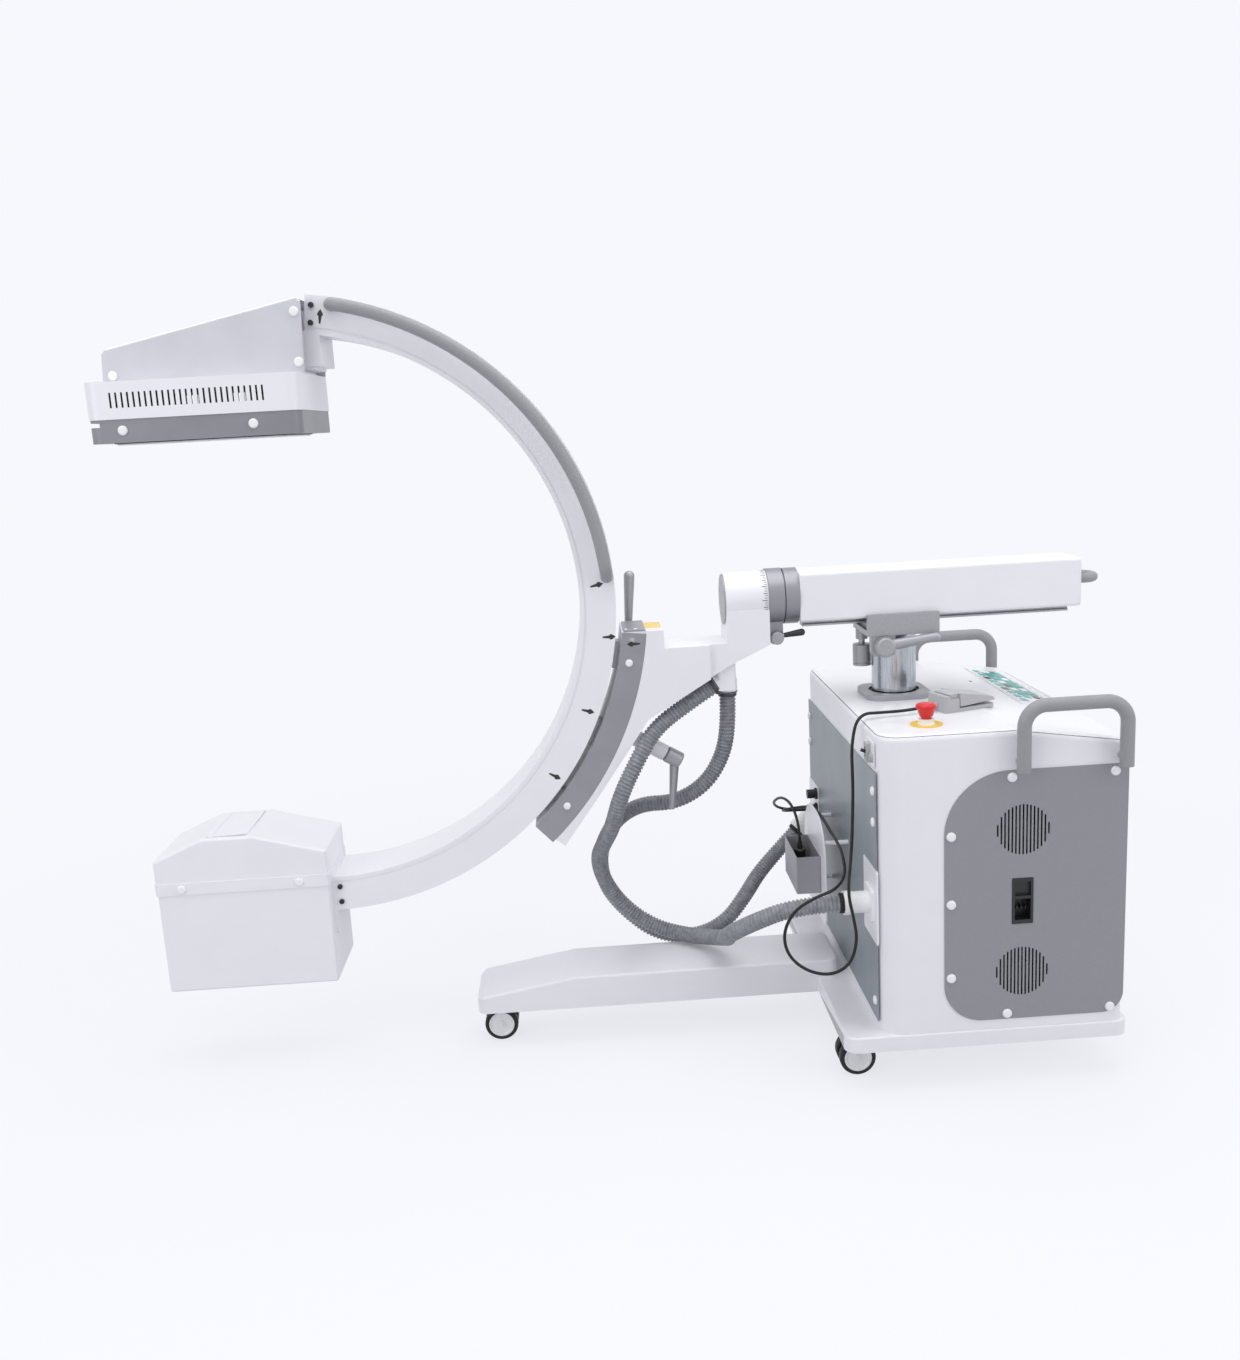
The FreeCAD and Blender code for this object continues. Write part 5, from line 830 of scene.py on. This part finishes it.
def make_wheel_shoulders():
    """Moulded black shoulder on both sides of each tyre, over the edge of the white disc."""
    for i in CASTERS:
        lo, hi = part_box("caster_wheel_%d" % i)
        radius = (hi.z - lo.z) / 2 / MM
        ring = [(-0.6, radius - 11.2), (0.5, radius - 10.8), (0.9, radius - 8.5), (0.6, radius - 5.5),
                (-0.6, radius - 5.0)]
        hub = Vector(((lo.x + hi.x) / 2, 0, (lo.z + hi.z) / 2))
        for side, y, facing in (("near", lo.y, -1), ("far", hi.y, 1)):
            out = Vector((0, facing, 0))
            start = Vector((hub.x, y, hub.z)) - out * SHOULDER_INSET
            turned_sleeve("tyre_shoulder_%s_%d" % (side, i), start, out, ring, TYRE, "wheel_%d" % i,
                          SHOULDER_SIDES)


def make_detector_cover():
    """Pale carbon cover under the detector rim, on a thin black gasket."""
    lo, hi = RIM_BOX
    middle = Vector(((lo.x + hi.x) / 2, 0, lo.z))
    width, depth = (hi.x - lo.x) / MM - COVER_INSET_X, (hi.y - lo.y) / MM - COVER_INSET_Y
    for name, smaller, top, thick, material in (("black_gasket", 0, 0.2, 1.8, SEAL),
                                                ("carbon_cover", 8, -1.4, 3.0, PALE_FILM)):
        outline = rounded_outline(width - smaller, depth - smaller, COVER_R)
        outline_plate(name, outline, middle + Vector((0, 0, top * MM)), Vector((1, 0, 0)), Vector((0, -1, 0)),
                      thick, material, "c_arm")


# Small marks

DECK_SCREWS_X = (-582.5, -562.5)
DECK_SCREW_Y, DECK_SCREW_Z = -48, 927.8
SCREW_DOME = [(0, 0.01), (0, 3.6), (0.5, 3.5), (1.1, 2.9), (1.5, 1.6), (1.6, 0.01)]
INDICATOR_X, INDICATOR_Y, INDICATOR_SUNK = 209, 121, 0.2
INDICATOR_LENS = [(0, 0.01), (0, 4.2), (0.6, 4.0), (0.9, 3.0), (0.9, 0.01)]

# Prints on the keypad: place downhill and towards the far side from its middle, width, length and film
KEYPAD_PRINTS = (
    ("teal_key_field", -1, 25, 42, 262, TEAL_FILM), ("grey_key_line", 21.5, 0, 1.2, 372, ARC_GREY),
    ("grey_front_line", -48, 0, 1.2, 372, ARC_GREY), ("grey_rear_line", 48, 0, 1.2, 372, ARC_GREY))
PRINT_R = 3
PRINT_T = 0.2


def make_deck_screws():
    """Screw heads on the carriage's top plate."""
    for i, x in enumerate(DECK_SCREWS_X, 1):
        turned_sleeve("deck_screw_%d" % i, at(x, DECK_SCREW_Y, DECK_SCREW_Z), Vector((0, 0, 1)), SCREW_DOME,
                      WHITE_NYLON, "carriage")


def make_lid_marks():
    """The blank indicator on the sloping lid, and the prints on the keypad."""
    lid_z = LID_TOP_Z - (INDICATOR_X - LID_SLOPE_X) * math.tan(LID_SLOPE)
    upright = Vector((math.sin(LID_SLOPE), 0, math.cos(LID_SLOPE)))
    turned_sleeve("blank_indicator", at(INDICATOR_X, INDICATOR_Y, lid_z - INDICATOR_SUNK), upright,
                  INDICATOR_LENS, CLAMP_GREY, "root")
    lo, hi = KEYPAD_BOX
    downhill, far = Vector((math.cos(LID_SLOPE), 0, -math.sin(LID_SLOPE))), Vector((0, 1, 0))
    middle = Vector(((lo.x + hi.x) / 2, (lo.y + hi.y) / 2, hi.z - math.tan(LID_SLOPE) * (hi.x - lo.x) / 2))
    for name, down, along, width, length, film in KEYPAD_PRINTS:
        outline = rounded_outline(width, length, min(PRINT_R, width * 0.45), 3)
        outline_plate(name, outline, middle + downhill * down * MM + far * along * MM, downhill, far, PRINT_T,
                      film, "root")


# Room, light and background

BACKDROP = "F7F8FD"
SOFT_SKY = "F5F6FB"
SKY_STRENGTH = 0.6
FLOOR_COAT = "7E7F82"
FLOOR_LIFT = 0.775
FLOOR_BOUNCE = "D2D3D6"
FLOOR_HALF = 40.0
FLOOR_DROP = 0.0005
FADE_FROM, FADE_TO = 1.3, 2.6

# Each lamp's name, place, size and power, in metres and watts
LAMPS = (("overhead_softbox", (0.1, -0.3, 4.2), (4.6, 3.6), 92),
         ("left_softbox", (-3.2, -3.0, 2.2), (2.2, 2.4), 37),
         ("right_softbox", (3.4, -2.2, 2.2), (2.0, 2.4), 31))
LAMPS_AIM = (0, 0, 0.8)


def shows_backdrop(tree):
    """1 for rays that show the backdrop: seen directly, mirrored, or through the clear plate."""
    rays = add(tree, "ShaderNodeLightPath").outputs
    mirrored = add(tree, "ShaderNodeMath", {"operation": "MAXIMUM"},
                   {0: rays["Is Camera Ray"], 1: rays["Is Glossy Ray"]})
    through = add(tree, "ShaderNodeMath", {"operation": "MAXIMUM"},
                  {0: mirrored.outputs[0], 1: rays["Is Transmission Ray"]})
    return through.outputs[0]


def make_room():
    """Pale matte floor that fades into the backdrop's own colour between FADE_FROM and FADE_TO metres."""
    mesh = bpy.data.meshes.new("studio_floor")
    corners = [(x * FLOOR_HALF, y * FLOOR_HALF, 0) for x, y in ((-1, -1), (1, -1), (1, 1), (-1, 1))]
    mesh.from_pydata(corners, [], [(0, 1, 2, 3)])
    floor = bpy.data.objects.new("studio_floor", mesh)
    bpy.context.scene.collection.objects.link(floor)
    floor.location.z = -FLOOR_DROP
    material = bpy.data.materials.new("matte_studio_floor")
    material.use_nodes = True
    tree = material.node_tree
    tree.nodes.clear()
    coat = add(tree, "ShaderNodeBsdfDiffuse", {"Color": linear(FLOOR_COAT)})
    lift = add(tree, "ShaderNodeEmission", {"Color": linear(BACKDROP), "Strength": FLOOR_LIFT})
    near = add(tree, "ShaderNodeAddShader", links={0: coat.outputs[0], 1: lift.outputs[0]})
    backdrop = add(tree, "ShaderNodeEmission", {"Color": linear(BACKDROP), "Strength": 1.0})
    place = add(tree, "ShaderNodeTexCoord").outputs["Object"]
    distance = add(tree, "ShaderNodeVectorMath", {"operation": "LENGTH"}, {0: place}).outputs["Value"]
    fade = add(tree, "ShaderNodeMapRange",
               {"interpolation_type": "SMOOTHSTEP", "From Min": FADE_FROM, "From Max": FADE_TO},
               {"Value": distance})
    mixed = add(tree, "ShaderNodeMixShader", links={0: fade.outputs["Result"], 1: near.outputs[0],
                                                    2: backdrop.outputs[0]})
    bounce = add(tree, "ShaderNodeBsdfDiffuse", {"Color": linear(FLOOR_BOUNCE)})
    shown = add(tree, "ShaderNodeMixShader", links={0: shows_backdrop(tree), 1: bounce.outputs[0],
                                                    2: mixed.outputs[0]})
    add(tree, "ShaderNodeOutputMaterial", links={"Surface": shown.outputs[0]})
    mesh.materials.append(material)


def make_world():
    """Soft light from all round, behind which the backdrop shows."""
    world = bpy.data.worlds.new("studio")
    bpy.context.scene.world = world
    world.use_nodes = True
    tree = world.node_tree
    tree.nodes.clear()
    soft = add(tree, "ShaderNodeBackground", {"Color": linear(SOFT_SKY), "Strength": SKY_STRENGTH})
    pale = add(tree, "ShaderNodeBackground", {"Color": linear(BACKDROP), "Strength": 1.0})
    mixed = add(tree, "ShaderNodeMixShader", links={0: shows_backdrop(tree), 1: soft.outputs[0],
                                                    2: pale.outputs[0]})
    add(tree, "ShaderNodeOutputWorld", links={"Surface": mixed.outputs[0]})


def make_lights():
    """Large soft lamps above and to both sides, all aimed at the middle of the unit."""
    for name, place, size, watts in LAMPS:
        data = bpy.data.lights.new(name, "AREA")
        data.shape = "RECTANGLE"
        data.size, data.size_y = size
        data.energy = watts
        piece = bpy.data.objects.new(name, data)
        piece.location = place
        piece.rotation_euler = (Vector(LAMPS_AIM) - Vector(place)).to_track_quat("-Z", "Y").to_euler()
        bpy.context.scene.collection.objects.link(piece)


bpy.context.scene.view_settings.view_transform = "Standard"
make_hoses()
make_cables()
paint_base()
paint_moving()
make_arrows()
make_tag()
make_scale()
make_wheel_shoulders()
make_detector_cover()
make_deck_screws()
make_lid_marks()
make_room()
make_world()
make_lights()
